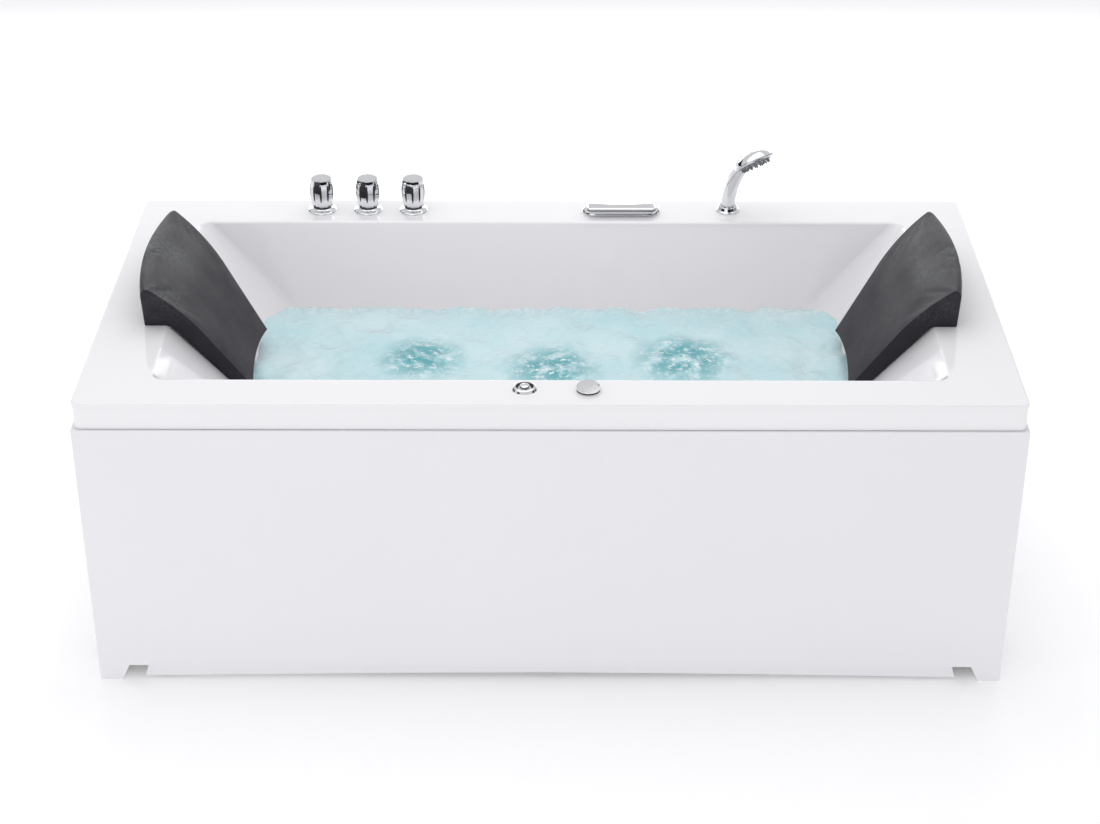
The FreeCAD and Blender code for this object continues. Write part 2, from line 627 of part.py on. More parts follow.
def headrest(side):
    """A moulded foam pillow that saddles the end rim and hangs down the sloping wall."""
    name = "left_headrest" if side < 0 else "right_headrest"
    body = new_body(name + "_blank")
    loft(body, [rest_section(body, share) for share in (-1, -0.5, 0, 0.5, 1)])
    ends = new_sketch(body, "YZ")
    for way in (-1, 1):
        high = f"rest_mid_y + ({way})*rest_half"
        low = f"rest_mid_y + ({way})*(rest_half - side_slope*(rest_rise + rim_height - rest_low_z))"
        far = f"rest_mid_y + ({way})*(rest_half + 20)"
        corners = [(high, "rest_seat + rest_rise + 8"), (low, "rest_low_z - 2"),
                   (far, "rest_low_z - 2"), (far, "rest_seat + rest_rise + 8")]
        outline(ends, corners if way > 0 else corners[::-1])
    pocket(body, ends, both=True)
    pegs = [cylinder(name + "_peg", "peg_r", "peg_long", peg_x(1), peg_y(way), "rest_seat - peg_long")
            for way in (-1, 1)]
    whole = fuse(name + "_right", [body] + pegs)
    if side > 0:
        return keep(whole, name)
    mirror = doc.addObject("Part::Mirroring", name + "_left")
    mirror.Source = whole
    mirror.Normal = V(1, 0, 0)
    return keep(mirror, name)


# ---------------------------------------------------------------- taps
def tap(kind):
    """One rim tap: knob on a spindle, in a brass valve clamped under the deck."""
    x = {"hot": "hot_x", "cold": "cold_x", "diverter": "divert_x"}[kind]
    knob = new_body(kind + "_knob")
    rings = (("0", "knob_low_r"), ("knob_high*0.42", "knob_mid_r"), ("knob_high*0.8", "knob_mid_r*0.97"),
             ("knob_high", "knob_top_r"))
    loft(knob, [polygon(new_sketch(knob, "XY", z), r, 10, 18) for z, r in rings])
    cap = new_sketch(knob, "XY", "knob_high")
    circle(cap, "knob_top_r - 2")
    pad(knob, cap, "1.2")
    flute = new_sketch(knob, "XY", "0")
    circle(flute, "flute_r", "(knob_mid_r + 1.3)*cos(18 deg)", "(knob_mid_r + 1.3)*sin(18 deg)")
    around(knob, pocket(knob, flute, "knob_high - 2", back=True), 10)
    socket = new_sketch(knob, "XY")
    circle(socket, "spindle_r + run_gap")
    pocket(knob, socket, "knob_high*0.6", back=True)
    keep(place(knob, x, "tap_y", "knob_z"), kind + "_knob")

    spindle = new_body(kind + "_spindle")
    turned(spindle, [("0", "0"), ("spindle_r + 3", "0"), ("spindle_r + 3", "4"), ("spindle_r", "5"),
                     ("spindle_r", "knob_z + knob_high*0.6 - valve_top + 8"),
                     ("0", "knob_z + knob_high*0.6 - valve_top + 8")])
    keep(place(spindle, x, "tap_y", "valve_top - 8"), kind + "_spindle")

    valve = new_body(kind + "_valve_turned")
    top = "neck_top - 3 - valve_low"
    deep = "valve_long - 8"
    turned(valve, [("0", "-thread_long"), ("thread_r", "-thread_long"), ("thread_r", "0"),
                   ("valve_r", "2"), ("valve_r", "valve_long - 2"), ("shank_r", "valve_long - 2"),
                   ("shank_r", top), ("spindle_r + run_gap", top),
                   ("spindle_r + run_gap", "valve_long - 2"), ("spindle_r + 4", "valve_long - 2"),
                   ("spindle_r + 4", f"{deep} - 1"), ("0", f"{deep} - 1")])
    inlet = new_sketch(valve, "XY", "-thread_long")
    circle(inlet, "thread_r - 3")
    pocket(valve, inlet, "thread_long", back=True)
    place(valve, x, "tap_y", "valve_low")
    boss = cylinder(kind + "_boss", "boss_r", "boss_long*2", f"{x} - boss_long", "tap_y", "mixer_z",
                    ("Y", "90"))
    return keep(fuse(kind + "_valve", [valve, boss]), kind + "_valve")


def tap_escutcheons():
    """Chrome flanges on the deck, each with the neck that its knob turns over."""
    rings = []
    for x in ("hot_x", "cold_x", "divert_x"):
        body = new_body("escutcheon")
        turned(body, [("shank_r + run_gap", "0"), ("tap_flange_r", "0"), ("tap_flange_r", "2"),
                      ("tap_flange_r - 3", "4.5", "4"), ("tap_neck_r + 3", "6.5"), ("tap_neck_r", "9"),
                      ("tap_neck_r", "tap_neck_high"), ("spindle_r + slide_gap", "tap_neck_high"),
                      ("spindle_r + slide_gap", "tap_neck_high - 2.5"),
                      ("shank_r + run_gap", "tap_neck_high - 2.5")])
        rings.append(place(body, x, "tap_y", "rim_height"))
    return keep(group("tap_escutcheons", rings), "tap_escutcheons")


def mixer_pipes():
    """Copper pipe from valve to valve and on to the spout's shank."""
    stops = ["hot_x", "cold_x", "divert_x", "spout_x"]
    pipes = []
    for start, end in zip(stops, stops[1:]):
        length = f"{end} - ({start}) - boss_long*2"
        pipes.append(cylinder("mixer_pipe", "mixer_pipe_r", length, f"{start} + boss_long", "tap_y",
                              "mixer_z", ("Y", "90")))
    return keep(group("mixer_pipes", pipes), "mixer_pipes")


# ---------------------------------------------------------------- spout
def spout():
    """Waterfall spout: one casting with an oval foot and a flat hooked bar, slotted along its lip."""
    foot = new_body("spout_oval_foot")
    plate = new_sketch(foot, "XY", "rim_height")
    rounded_box(plate, "spout_x", "tap_y", "spout_base_w/2", "spout_base_d/2", "spout_base_d/2 - 2")
    slab = pad(foot, plate, "spout_base_high")
    foot_top = number("rim_height + spout_base_high")
    rounded(foot, slab, "spout_base_high*0.6", lambda edge: level(edge, foot_top))
    bar = new_body("spout_flat_bar")
    top, base = "rim_height + spout_high", "rim_height + spout_base_high"
    back, front = "tap_y + 18", "tap_y - spout_reach"
    side = outline(new_sketch(bar, "YZ", "spout_x"), [
        ("tap_y - 16", base), (back, base), (back, f"{top} - 12"), (f"{back} - 12", top, "12"),
        (f"{front} + 4", f"{top} - 5"), (front, f"{top} - 9", "4"),
        (f"{front} + 1", f"{top} - 10"), (f"{front} + 38", f"{top} - 8"),
        (f"{front} + 38", f"{top} - 8 - slot_high"), (f"{front} - 1", f"{top} - 10 - slot_high"),
        (f"{front} - 1", f"{top} - 14 - slot_high"), ("tap_y - 24", f"{top} - 20")])
    pad(bar, side, "spout_width", both=True)
    frame = new_body("spout_end_rounding")
    around_bar = new_sketch(frame, "XY", base)
    middle, half_long = f"({back} + {front} - 1)/2", f"({back} - ({front}) + 1)/2"
    rounded_box(around_bar, "spout_x", middle, "spout_width/2 + 20", f"{half_long} + 20", "10")
    rounded_box(around_bar, "spout_x", middle, "spout_width/2", half_long, "spout_end_r")
    pad(frame, around_bar, "spout_high + 4")
    keep(fuse("waterfall_spout", [foot, cut("spout_bar", bar, [frame])]), "waterfall_spout")

    shank = new_body("spout_shank_turned")
    turned(shank, [("0", "0"), ("valve_r", "0"), ("valve_r", "valve_top - mixer_z + boss_r - 1"),
                   ("shank_r", "valve_top - mixer_z + boss_r"),
                   ("shank_r", "rim_height - mixer_z + boss_r"), ("0", "rim_height - mixer_z + boss_r")])
    place(shank, "spout_x", "tap_y", "mixer_z - boss_r - 1")
    boss = cylinder("spout_boss", "boss_r", "boss_long", "spout_x - boss_long", "tap_y", "mixer_z",
                    ("Y", "90"))
    return keep(fuse("spout_shank", [shank, boss]), "spout_shank")


# ---------------------------------------------------------------- hand shower
def shower():
    """Deck holder with its guide tube, and the hand shower that lifts out of it."""
    holder = new_body("shower_holder")
    turned(holder, [("holder_bore_r", "-holder_drop"), ("holder_tube_r", "-holder_drop"),
                    ("holder_tube_r", "0"), ("holder_r", "0"), ("holder_r", "2.5"),
                    ("collar_r + 1.5", "5.5", "6"), ("collar_r", "collar_high - 2"),
                    ("collar_r - 2", "collar_high", "2"), ("holder_bore_r", "collar_high")])
    keep(place(holder, "shower_x", "shower_y", "rim_height"), "shower_holder")

    turn = ("Z", "-shower_turn")
    handle = new_body("shower_handle")
    lean = "handle_lean"
    stations = (("0", "0", "0", "handle_r - 2"), (f"{lean}*0.13", "handle_rise*0.36", "18 deg", "handle_r"),
                (f"{lean}*0.45", "handle_rise*0.7", "28 deg", "handle_r - 1"),
                (lean, "handle_rise", "head_tip * 1 deg", "handle_r - 5"))
    loft(handle, [circle(new_sketch(handle, "XY", z, x, tilt), r) for x, z, tilt, r in stations])
    stub = new_sketch(handle, "XY")
    circle(stub, "holder_bore_r - seat_gap")
    pad(handle, stub, "collar_high + 20", back=True)
    nipple = new_sketch(handle, "XY", "-(collar_high + 20)")
    circle(nipple, "holder_bore_r - 4")
    pad(handle, nipple, "12", back=True)
    low = "rim_height + collar_high + seat_gap"
    place(handle, "shower_x", "shower_y", low, turn)

    head = new_body("shower_head")
    dome = "head_dome"
    turned(head, [("0", dome), ("1", dome), ("head_r*0.62", f"{dome}*0.72", "-head_r*1.1"),
                  ("head_r", "2", "-head_r*0.75"), ("head_r - 2", "-4", "-5"), ("face_r + 1", "-4"),
                  ("face_r + 1", "3"), ("0", "3")])
    middle_x = "handle_lean + (head_r - 8)*cos(head_tip * 1 deg)"
    middle_z = "handle_rise + (head_r - 8)*sin(head_tip * 1 deg)"

    def on_handle(name, piece):
        """The piece tipped as the head is, and turned with the handle."""
        tilted = place(group(name + "_tilted", [piece]), middle_x, "0", middle_z, ("Y", "-head_tip"))
        return place(group(name, [tilted]), "shower_x", "shower_y", low, turn)

    recess = on_handle("face_recess", cylinder("recess_rod", "face_r + 1", "7", z="-4"))
    blank = fuse("shower_blank", [handle, on_handle("set_head", head)])
    keep(cut("hand_shower", blank, [recess]), "hand_shower")

    face = new_body("spray_face")
    turned(face, [("0", "3 - run_gap"), ("0", "-face_dome - 3"), ("1", "-face_dome - 3"),
                  ("face_r - 3", "-5", "face_r*3"), ("face_r", "-3", "3"), ("face_r", "3 - run_gap")])
    for radius, count in (("face_r*0.82", 16), ("face_r*0.5", 10)):
        jet = new_sketch(face, "XY", "-3")
        circle(jet, "1.7", radius)
        around(face, pad(face, jet, "face_dome + nozzle_high - 1", back=True), count)
    return keep(on_handle("spray_plate", face), "spray_plate")


# ---------------------------------------------------------------- front rim controls
def controls():
    """Air switch button in its dished ring, and the air regulator with its slanted cap."""
    ring = new_body("air_button_ring")
    deep = "-control_drop"
    turned(ring, [("button_r + slide_gap", "-18"), ("button_r + slide_gap", "1"), ("button_r + 3", "1"),
                  ("button_ring_r - 7", "5.5", "12"), ("button_ring_r - 2", "4", "-5"),
                  ("button_ring_r", "0"), ("control_shank_r", "0"), ("control_shank_r", deep),
                  ("4", deep), ("4", f"{deep} + 6"), ("control_shank_r - 2", f"{deep} + 6"),
                  ("control_shank_r - 2", "-18")])
    keep(place(ring, "button_x", "button_y", "rim_height"), "air_button_ring")
    button = new_body("air_button")
    turned(button, [("0", "-18 - button_travel"), ("button_r + 1.8", "-18 - button_travel"),
                    ("button_r + 1.8", "-18.3"), ("button_r", "-18.3"), ("button_r", "6"),
                    ("button_r - 2", "8", "2"), ("1", "7.2", "-60"), ("0", "7.2")])
    keep(place(button, "button_x", "button_y", "rim_height"), "air_button")

    base = new_body("regulator_base")
    turned(base, [("5 + run_gap", deep), ("control_shank_r", deep), ("control_shank_r", "0"),
                  ("regulator_r", "0"), ("regulator_r", "2"), ("regulator_r - 1.5", "3"),
                  ("5 + run_gap", "3")])
    keep(place(base, "regulator_x", "regulator_y", "rim_height"), "regulator_base")
    cap = new_body("regulator_knob")
    turned(cap, [("0", "-control_drop + 8"), ("5", "-control_drop + 8"), ("5", "3.3"),
                 ("regulator_r - 1", "3.3"), ("regulator_r", "5"), ("regulator_r", "regulator_high + 2"),
                 ("0", "regulator_high + 3")])
    slant = outline(new_sketch(cap, "YZ"), [
        ("-regulator_r - 2", "regulator_high - 3"), ("regulator_r + 2", "regulator_high + 2.5"),
        ("regulator_r + 2", "regulator_high + 8"), ("-regulator_r - 2", "regulator_high + 8")])
    pocket(cap, slant, both=True)
    notch = outline(new_sketch(cap, "XY", "regulator_high - 2.5"), [
        ("regulator_r - 5", "1"), ("regulator_r + 2", "1"), ("regulator_r + 2", "7"),
        ("regulator_r - 5", "7")])
    pocket(cap, notch, "10", back=True)
    return keep(place(cap, "regulator_x", "regulator_y", "rim_height"), "regulator_knob")


# ---------------------------------------------------------------- pipes
def route(points, bend):
    """A wire of straight runs joined by tangent arcs of one radius."""
    edges = []
    start = points[0]
    for corner, after in zip(points[1:-1], points[2:]):
        way_in, way_out = (corner - start).normalize(), (after - corner).normalize()
        turn = way_in.getAngle(way_out)
        reach = bend * math.tan(turn / 2)
        first, last = corner - way_in * reach, corner + way_out * reach
        inward = (way_out - way_in).normalize()
        middle = corner + inward * (bend / math.cos(turn / 2) - bend)
        edges += [Part.makeLine(start, first), Part.Arc(first, middle, last).toShape()]
        start = last
    edges.append(Part.makeLine(start, points[-1]))
    return Part.Wire(edges)


def swept(radius, corners, bend):
    """A round pipe along a route; corners are formulas."""
    points = [V(*(number(text) for text in corner)) for corner in corners]
    wire = route(points, bend)
    ring = Part.Wire(Part.makeCircle(number(radius), points[0], points[1] - points[0]))
    pipe = wire.makePipeShell([ring], True, False)
    length = number(radius) ** 2 * math.pi * wire.Length
    if abs(pipe.Volume - length) > 0.01 * length:
        raise ValueError("a pipe's volume isn't its section times its length")
    return pipe


def solid_feature(name, shape):
    feature = doc.addObject("Part::Feature", name)
    feature.Shape = shape
    return feature


# ---------------------------------------------------------------- waste and overflow
def drain():
    """Floor drain: a flange with a guide bar across its tail, and the plug that lifts in it."""
    flange = new_body("drain_flange")
    tail = "-(floor_z - overflow_low_z - socket_deep)"
    bore = "tail_r - 3"
    turned(flange, [(bore, tail), ("tail_r", tail), ("tail_r", "0"), ("drain_r", "0"), ("drain_r", "1"),
                    ("drain_r - 3", "3", "4"), ("plug_r - 1.5", "3"), (bore, "1")])
    half = "tail_r - 1"
    bar = outline(new_sketch(flange, "XY", "-14"), [
        (f"-({half})", "-3"), (half, "-3"), (half, "3"), (f"-({half})", "3")])
    pad(flange, bar, "4")
    hub = new_sketch(flange, "XY", "-18")
    circle(hub, "plug_stem_r + 4")
    pad(flange, hub, "8")
    guide = new_sketch(flange, "XY", "-18")
    circle(guide, "plug_stem_r + run_gap")
    pocket(flange, guide, "8", back=True)
    keep(place(flange, "drain_x", "drain_y", "floor_z"), "drain_flange")

    plug = new_body("drain_plug")
    turned(plug, [("0", "-30"), ("plug_stem_r", "-30"), ("plug_stem_r", "-1"), ("tail_r - 4", "-1"),
                  ("tail_r - 4", "2 + seat_gap"), ("plug_r - 4", "3 + seat_gap"),
                  ("plug_r", "3 + seat_gap"), ("plug_r", "5"), ("plug_r - 3", "7", "4"),
                  ("1", "9", "plug_r*6"), ("0", "9")])
    keep(place(plug, "drain_x", "drain_y", "floor_z"), "drain_plug")


def overflow():
    """Overflow elbow through the front wall and the turning knob on its flange."""
    elbow = new_body("overflow_elbow")
    deep = "-(overflow_deep + overflow_pipe_r + 3)"
    turned(elbow, [("0", deep), ("overflow_pipe_r + 8", deep), ("overflow_pipe_r + 8", "-wall_out"),
                   ("overflow_pipe_r", "-wall_out"), ("overflow_pipe_r", "0"), ("overflow_r", "0"),
                   ("overflow_r", "2"), ("overflow_r - 4", "6", "6"), ("0", "6")])
    place(elbow, "drain_x", "overflow_y", "overflow_z", SQUARE_TO_FRONT_WALL)
    outlet = cylinder("overflow_outlet", "overflow_pipe_r + 3", "outlet_drop", "drain_x", "overflow_line_y",
                      "overflow_line_z - outlet_drop")
    bore = centred_rod("knob_bore", "knob_stem_r + run_gap", "drain_x", "overflow_y", "overflow_z",
                       SQUARE_TO_FRONT_WALL)
    keep(cut("overflow_flange", fuse("overflow_blank", [elbow, outlet]), [bore]), "overflow_flange")

    knob = new_body("waste_knob")
    turned(knob, [("0", "-14"), ("knob_stem_r", "-14"), ("knob_stem_r", "6 + seat_gap"),
                  ("overflow_knob_r", "6 + seat_gap"), ("overflow_knob_r", "14"),
                  ("overflow_knob_r - 4", "18", "4"), ("1", "16", "-overflow_knob_r*5"), ("0", "16")])
    doc.recompute()
    scallop = new_sketch(knob, "XY", "6")
    circle(scallop, "6", "overflow_knob_r + 3.5")
    around(knob, pocket(knob, scallop, "14", back=True), 8)
    keep(place(knob, "drain_x", "overflow_y", "overflow_z", SQUARE_TO_FRONT_WALL), "waste_knob")


def waste_pipework():
    """Overflow pipe down to the shoe under the drain, and the trap out to the back."""
    shoe_front = "drain_y - shoe_arm"
    over = [("drain_x", "overflow_line_y", "overflow_line_z - outlet_drop"),
            ("drain_x", "overflow_line_y", "overflow_low_z"), ("drain_x", shoe_front, "overflow_low_z")]
    overflow_pipe = solid_feature("overflow_pipe", swept("overflow_pipe_r", over, 40))
    low, high = "waste_pipe_r + 6", "waste_z"
    down = [("drain_x", "drain_y", "overflow_low_z - 20"), ("drain_x", "drain_y", low),
            ("drain_x", "drain_y + trap_run", low), ("drain_x", "drain_y + trap_run", high),
            ("drain_x", "rim_back - outlet_in", high)]
    trap = solid_feature("trap_bend", swept("waste_pipe_r", down, 28))
    shoe = cylinder("shoe", "tail_r + 5", "46", "drain_x", "drain_y", "overflow_low_z - 22")
    arm = cylinder("shoe_arm_rod", "overflow_pipe_r + 3", "shoe_arm", "drain_x", "drain_y", "overflow_low_z",
                   ("X", "90"))
    socket = cylinder("socket", "tail_r + run_gap", "40", "drain_x", "drain_y", "overflow_low_z - 2")
    mouth = cylinder("outlet_bore", "waste_pipe_r - 2", "outlet_length*2", "drain_x",
                     "rim_back - outlet_in + outlet_length", high, ("X", "90"))
    union = cylinder("outlet_union", "waste_pipe_r + 6", "union_long", "drain_x",
                     "rim_back - outlet_in - outlet_length", high, ("X", "90"))
    drilled = cut("drilled_trap", fuse("trap_blank", [trap, shoe, arm, union]), [socket, mouth])
    keep(group("waste_pipework", [overflow_pipe, drilled]), "waste_pipework")


# ---------------------------------------------------------------- jets and suction
def wall_fitting(name, seat, shank, barrel):
    """A fitting clamped from outside the wall: nut flange, blind body and a barrel along the pipes."""
    x, y, z, turn, line_y, line_z = seat
    body = new_body(name + "_turned")
    tail, nut = f"-(barrel_out + {barrel} - 2)", f"{shank} + 8"
    turned(body, [("0", tail), (shank, tail), (shank, "-wall_out - 10"), (nut, "-wall_out - 10"),
                  (nut, "-wall_out"), (shank, "-wall_out"), (shank, "0"), (f"{shank} - 4", "0"),
                  (f"{shank} - 4", "-24"), ("jet_throat_r", "-30"), ("jet_throat_r", "-barrel_out"),
                  ("0", "-barrel_out")])
    place(body, x, y, z, turn)
    return [body, cylinder(name + "_barrel", barrel, "barrel_half*2", f"{x} - barrel_half", line_y, line_z,
                           ("Y", "90"))]


def jets():
    """Six jets: body behind the wall, screwed ring in front, and a ball nozzle that swivels."""
    bodies, rings = [], []
    for count, (x, y, turn) in enumerate(jet_seats(), start=1):
        line_y = "front_line_y" if count < 4 else "back_line_y"
        pieces = wall_fitting("jet", (x, y, "jet_z", turn, line_y, "line_z"), "jet_hole_r", "barrel_r")
        pieces.append(cylinder("air_barb", "air_pipe_r + 2", "air_barb_half*2", f"{x} - air_barb_half",
                               line_y, "line_z + air_rise", ("Y", "90")))
        bodies.append(fuse("jet_body", pieces))
        ring = new_body("jet_ring")
        seat = "ball_r + seat_gap"
        deep = "ball_back"
        turned(ring, [(seat, f"-{deep}", f"-({seat})"), (seat, "-18"),
                      ("jet_hole_r - 4 - run_gap", "-18"), ("jet_hole_r - 4 - run_gap", "0"),
                      ("jet_flange_r", "0"), ("jet_flange_r", "1.5"), ("jet_flange_r - 4", "4.5", "6"),
                      (f"sqrt(({seat})^2 - ({deep} + 4.5)^2)", "4.5")])
        rings.append(place(ring, x, y, "jet_z", turn))
        ball = new_body(f"jet_nozzle_{count}")
        flat, tip = "ball_r*0.64", "nozzle_bore_r + 3.5"
        rear, front, flat_r = f"-{deep} - {flat}", f"-{deep} + {flat}", f"sqrt(ball_r^2 - ({flat})^2)"
        turned(ball, [("nozzle_bore_r", rear), (flat_r, rear), ("ball_r", f"-{deep}", "ball_r"),
                      (flat_r, front, "ball_r"), (tip, front), (tip, f"{front} + 2.5"),
                      ("nozzle_bore_r + 1", f"{front} + 2.5"), ("nozzle_bore_r", front)])
        keep(place(ball, x, y, "jet_z", turn), f"jet_nozzle_{count}")
    keep(group("jet_bodies", bodies), "jet_bodies")
    keep(group("jet_rings", rings), "jet_rings")


def suction():
    """Suction fitting low on the front wall, under a domed guard with slots."""
    seat = ("suction_x", "suction_y", "suction_z", SQUARE_TO_FRONT_WALL, "suction_line_y", "suction_line_z")
    keep(fuse("suction_body", wall_fitting("suction", seat, "suction_hole_r", "suction_pipe_r + 4")),
         "suction_body")
    guard = new_body("suction_guard")
    turned(guard, [("0", "8"), ("suction_r - 10", "5"), ("suction_r - 5", "0"), ("suction_r", "0"),
                   ("suction_r", "3"), ("suction_r - 6", "9", "8"), ("1", "12", "suction_r*2.4"),
                   ("0", "12")])
    doc.recompute()
    slot = outline(new_sketch(guard, "XY", "2"), [
        ("10", "-1.6"), ("suction_r - 11", "-2.6"), ("suction_r - 11", "2.6"), ("10", "1.6")])
    around(guard, pocket(guard, slot, "12", back=True), 12)
    keep(place(guard, "suction_x", "suction_y", "suction_z", SQUARE_TO_FRONT_WALL), "suction_guard")


def water_pipes():
    """Rigid pipe from jet to jet, the header that joins both lines to the pump, and the suction."""
    pieces = line_pieces("jet_pipe_r", "barrel_half", "line_z")
    ends = [("jet_pitch + barrel_half", "front_line_y", "line_z"), ("header_x", "front_line_y", "line_z"),
            ("header_x", "back_line_y", "line_z"), ("jet_pitch + barrel_half", "back_line_y", "line_z")]
    header = solid_feature("header", swept("jet_pipe_r", ends, 48))
    sleeve = cylinder("tee_sleeve", "jet_pipe_r + 4", "tee_arm*2", "header_x", "discharge_y + tee_arm",
                      "line_z", ("X", "90"))
    arm = cylinder("tee_arm_rod", "jet_pipe_r + 3", "tee_arm", "header_x", "discharge_y", "line_z",
                   ("Y", "90"))
    pieces.append(fuse("header_and_tee", [header, sleeve, arm]))
    draw = [("suction_x + barrel_half", "suction_line_y", "pump_z"), ("pump_x", "suction_line_y", "pump_z"),
            ("pump_x", "pump_y - volute_long - inlet_long", "pump_z")]
    pieces.append(solid_feature("suction_run", swept("suction_pipe_r", draw, 44)))
    return keep(group("water_pipes", pieces), "water_pipes")


def line_pieces(radius, start, height):
    """Straight pipes between the jets of both lines."""
    length = f"jet_pitch - ({start})*2"
    return [cylinder("line_pipe", radius, length, f"{x} + {start}", y, height, ("Y", "90"))
            for y in ("front_line_y", "back_line_y") for x in ("-jet_pitch", "0")]


def air_pipes():
    """Small-bore pipe from the air regulator to every jet, and the air switch's thin tube."""
    height = "line_z + air_rise"
    pieces = line_pieces("air_pipe_r", "air_barb_half", height)
    far = "-jet_pitch - air_barb_half"
    loop = [(far, "front_line_y", height), ("-loop_x", "front_line_y", height),
            ("-loop_x", "back_line_y", height), (far, "back_line_y", height)]
    pieces.append(solid_feature("air_loop", swept("air_pipe_r", loop, 40)))
    drop = [("regulator_x", "regulator_y", "rim_height - control_drop"),
            ("regulator_x", "regulator_y", height), ("regulator_x", "front_line_y", height)]
    riser = solid_feature("air_riser", swept("air_pipe_r + 1", drop, 24))
    pieces[1] = fuse("air_tee", [pieces[1], riser])
    box_y, box_z = "pump_y + motor_long/2", "pump_z + motor_r + box_high/2"
    run = [("button_x", "button_y", "rim_height - control_drop"), ("button_x", "button_y", "switch_line_z"),
           ("button_x", "switch_tube_y", "switch_line_z"),
           ("switch_tube_x", "switch_tube_y", "switch_line_z"), ("switch_tube_x", box_y, "switch_line_z"),
           ("switch_tube_x", box_y, box_z), ("pump_x + box_half", box_y, box_z)]
    pieces.append(solid_feature("switch_tube", swept("switch_tube_r", run, 10)))
    return keep(group("air_pipes", pieces), "air_pipes")


# ---------------------------------------------------------------- pump
def pump():
    """Centrifugal pump on rubber mounts: volute, vaned impeller, finned motor and its shaft."""
    seat, to_front, to_back = ("pump_x", "pump_y", "pump_z"), ("X", "90"), ("X", "-90")
    volute = new_body("volute")
    bore, neck = "shaft_r + run_gap", "suction_pipe_r + 5"
    mouth = "volute_long + inlet_long"
    turned(volute, [(bore, "0"), ("volute_r", "0"), ("volute_r", "volute_long - 18"),
                    ("volute_r - 8", "volute_long - 8", "12"), (neck, "volute_long"), (neck, mouth),
                    ("suction_pipe_r - 4", mouth), ("suction_pipe_r - 4", "8"), (bore, "8")])
    place(volute, *seat, to_front)
    outlet = cylinder("discharge", "jet_pipe_r + 3", "pump_x - header_x - tee_arm", "header_x + tee_arm",
                      "discharge_y", "line_z", ("Y", "90"))
    chamber = cylinder("chamber", "impeller_r + 4", "28", "pump_x", "pump_y - 8", "pump_z", to_front)
    keep(cut("pump_housing", fuse("housing_blank", [volute, outlet]), [chamber]), "pump_housing")

    impeller = new_body("impeller")
    turned(impeller, [("shaft_r + run_gap", "11"), ("impeller_r", "11"), ("impeller_r", "14"),
                      ("shaft_r + 7", "16"), ("shaft_r + 5", "28"), ("shaft_r + run_gap", "28")])
    doc.recompute()
    vane = outline(new_sketch(impeller, "XY", "13"), [
        ("shaft_r + 5", "-1"), ("impeller_r - 2", "-18", "impeller_r"), ("impeller_r - 1", "-15"),
        ("shaft_r + 5", "2", "-impeller_r*0.9")])
    around(impeller, pad(impeller, vane, "14"), 6)
    keep(place(impeller, *seat, to_front), "impeller")

    motor = new_body("motor_turned")
    back = "motor_long"
    turned(motor, [(bore, "0"), ("motor_r - 14", "0"), ("motor_r", "10"), ("motor_r", f"{back} - 42"),
                   ("motor_r + 4", f"{back} - 40"), ("motor_r + 4", f"{back} - 10"),
                   ("motor_r - 8", back, "14"), ("0", back), ("0", f"{back} - 30"), (bore, f"{back} - 30")])
    doc.recompute()
    fin = outline(new_sketch(motor, "XY", "14"), [
        ("motor_r - 1", "-1.2"), ("motor_r + fin_high", "-0.8"), ("motor_r + fin_high", "0.8"),
        ("motor_r - 1", "1.2")])
    around(motor, pad(motor, fin, f"{back} - 62"), 24)
    doc.recompute()
    vent = outline(new_sketch(motor, "XY", f"{back} + 1"), [
        ("14", "-2"), ("motor_r - 16", "-4"), ("motor_r - 16", "4"), ("14", "2")])
    around(motor, pocket(motor, vent, "7"), 10)
    place(motor, *seat, to_back)
    saddle = box("saddle", "motor_r*1.6", "motor_long - 70", "pump_z - pump_base - motor_r + 16",
                 "pump_x - motor_r*0.8", "pump_y + 20", "pump_base")
    case = new_body("switch_box")
    case_low = new_sketch(case, "XY", "pump_z + motor_r - 6")
    shape = rounded_box(case_low, "pump_x", "pump_y + motor_long/2", "box_half", "box_half + 12", "8")
    top = "pump_z + motor_r + box_high"
    rounded(case, pad(case, shape, "box_high + 6"), "3", lambda edge: level(edge, number(top)))
    keep(fuse("pump_motor", [motor, saddle, case]), "pump_motor")

    shaft = new_body("motor_shaft")
    turned(shaft, [("0", "-33"), ("shaft_r - 1", "-33"), ("shaft_r", "-32"), ("shaft_r", f"{back} - 34"),
                   ("0", f"{back} - 34")])
    keep(place(shaft, *seat, to_back), "motor_shaft")


def pump_tray():
    """Folded steel tray across two cross members, and the rubber mounts that stand on it."""
    tray = new_body("pump_tray")
    low, high = "pump_bay_x - tube_side/2", "corner_x + tube_side/2"
    lip = "plate_thick*4"
    fold = outline(new_sketch(tray, "XZ", "-(pump_y - volute_long)"), [
        (low, "rail_top"), (high, "rail_top"), (high, f"rail_top + {lip}"),
        (f"{high} - plate_thick", f"rail_top + {lip}"), (f"{high} - plate_thick", "plate_top"),
        (f"{low} + plate_thick", "plate_top"), (f"{low} + plate_thick", f"rail_top + {lip}"),
        (low, f"rail_top + {lip}")])
    pad(tray, fold, "motor_long + volute_long + 10", back=True)
    keep(tray, "pump_tray")
    mounts = []
    for x in ("pump_x - motor_r*0.55", "pump_x + motor_r*0.55"):
        for y in ("pump_y + 40", "pump_y + motor_long - 70"):
            body = new_body("rubber_mount")
            turned(body, [("0", "0"), ("mount_r", "0"), ("mount_r", "3"), ("mount_r - 4", "mount_high/2"),
                          ("mount_r", "mount_high - 3"), ("mount_r", "mount_high"), ("0", "mount_high")])
            mounts.append(place(body, x, y, "plate_top"))
    return keep(group("pump_mounts", mounts), "pump_mounts")


# ---------------------------------------------------------------- the whole tub
def taps():
    for kind in ("hot", "cold", "diverter"):
        tap(kind)


def headrests():
    for side in (-1, 1):
        headrest(side)


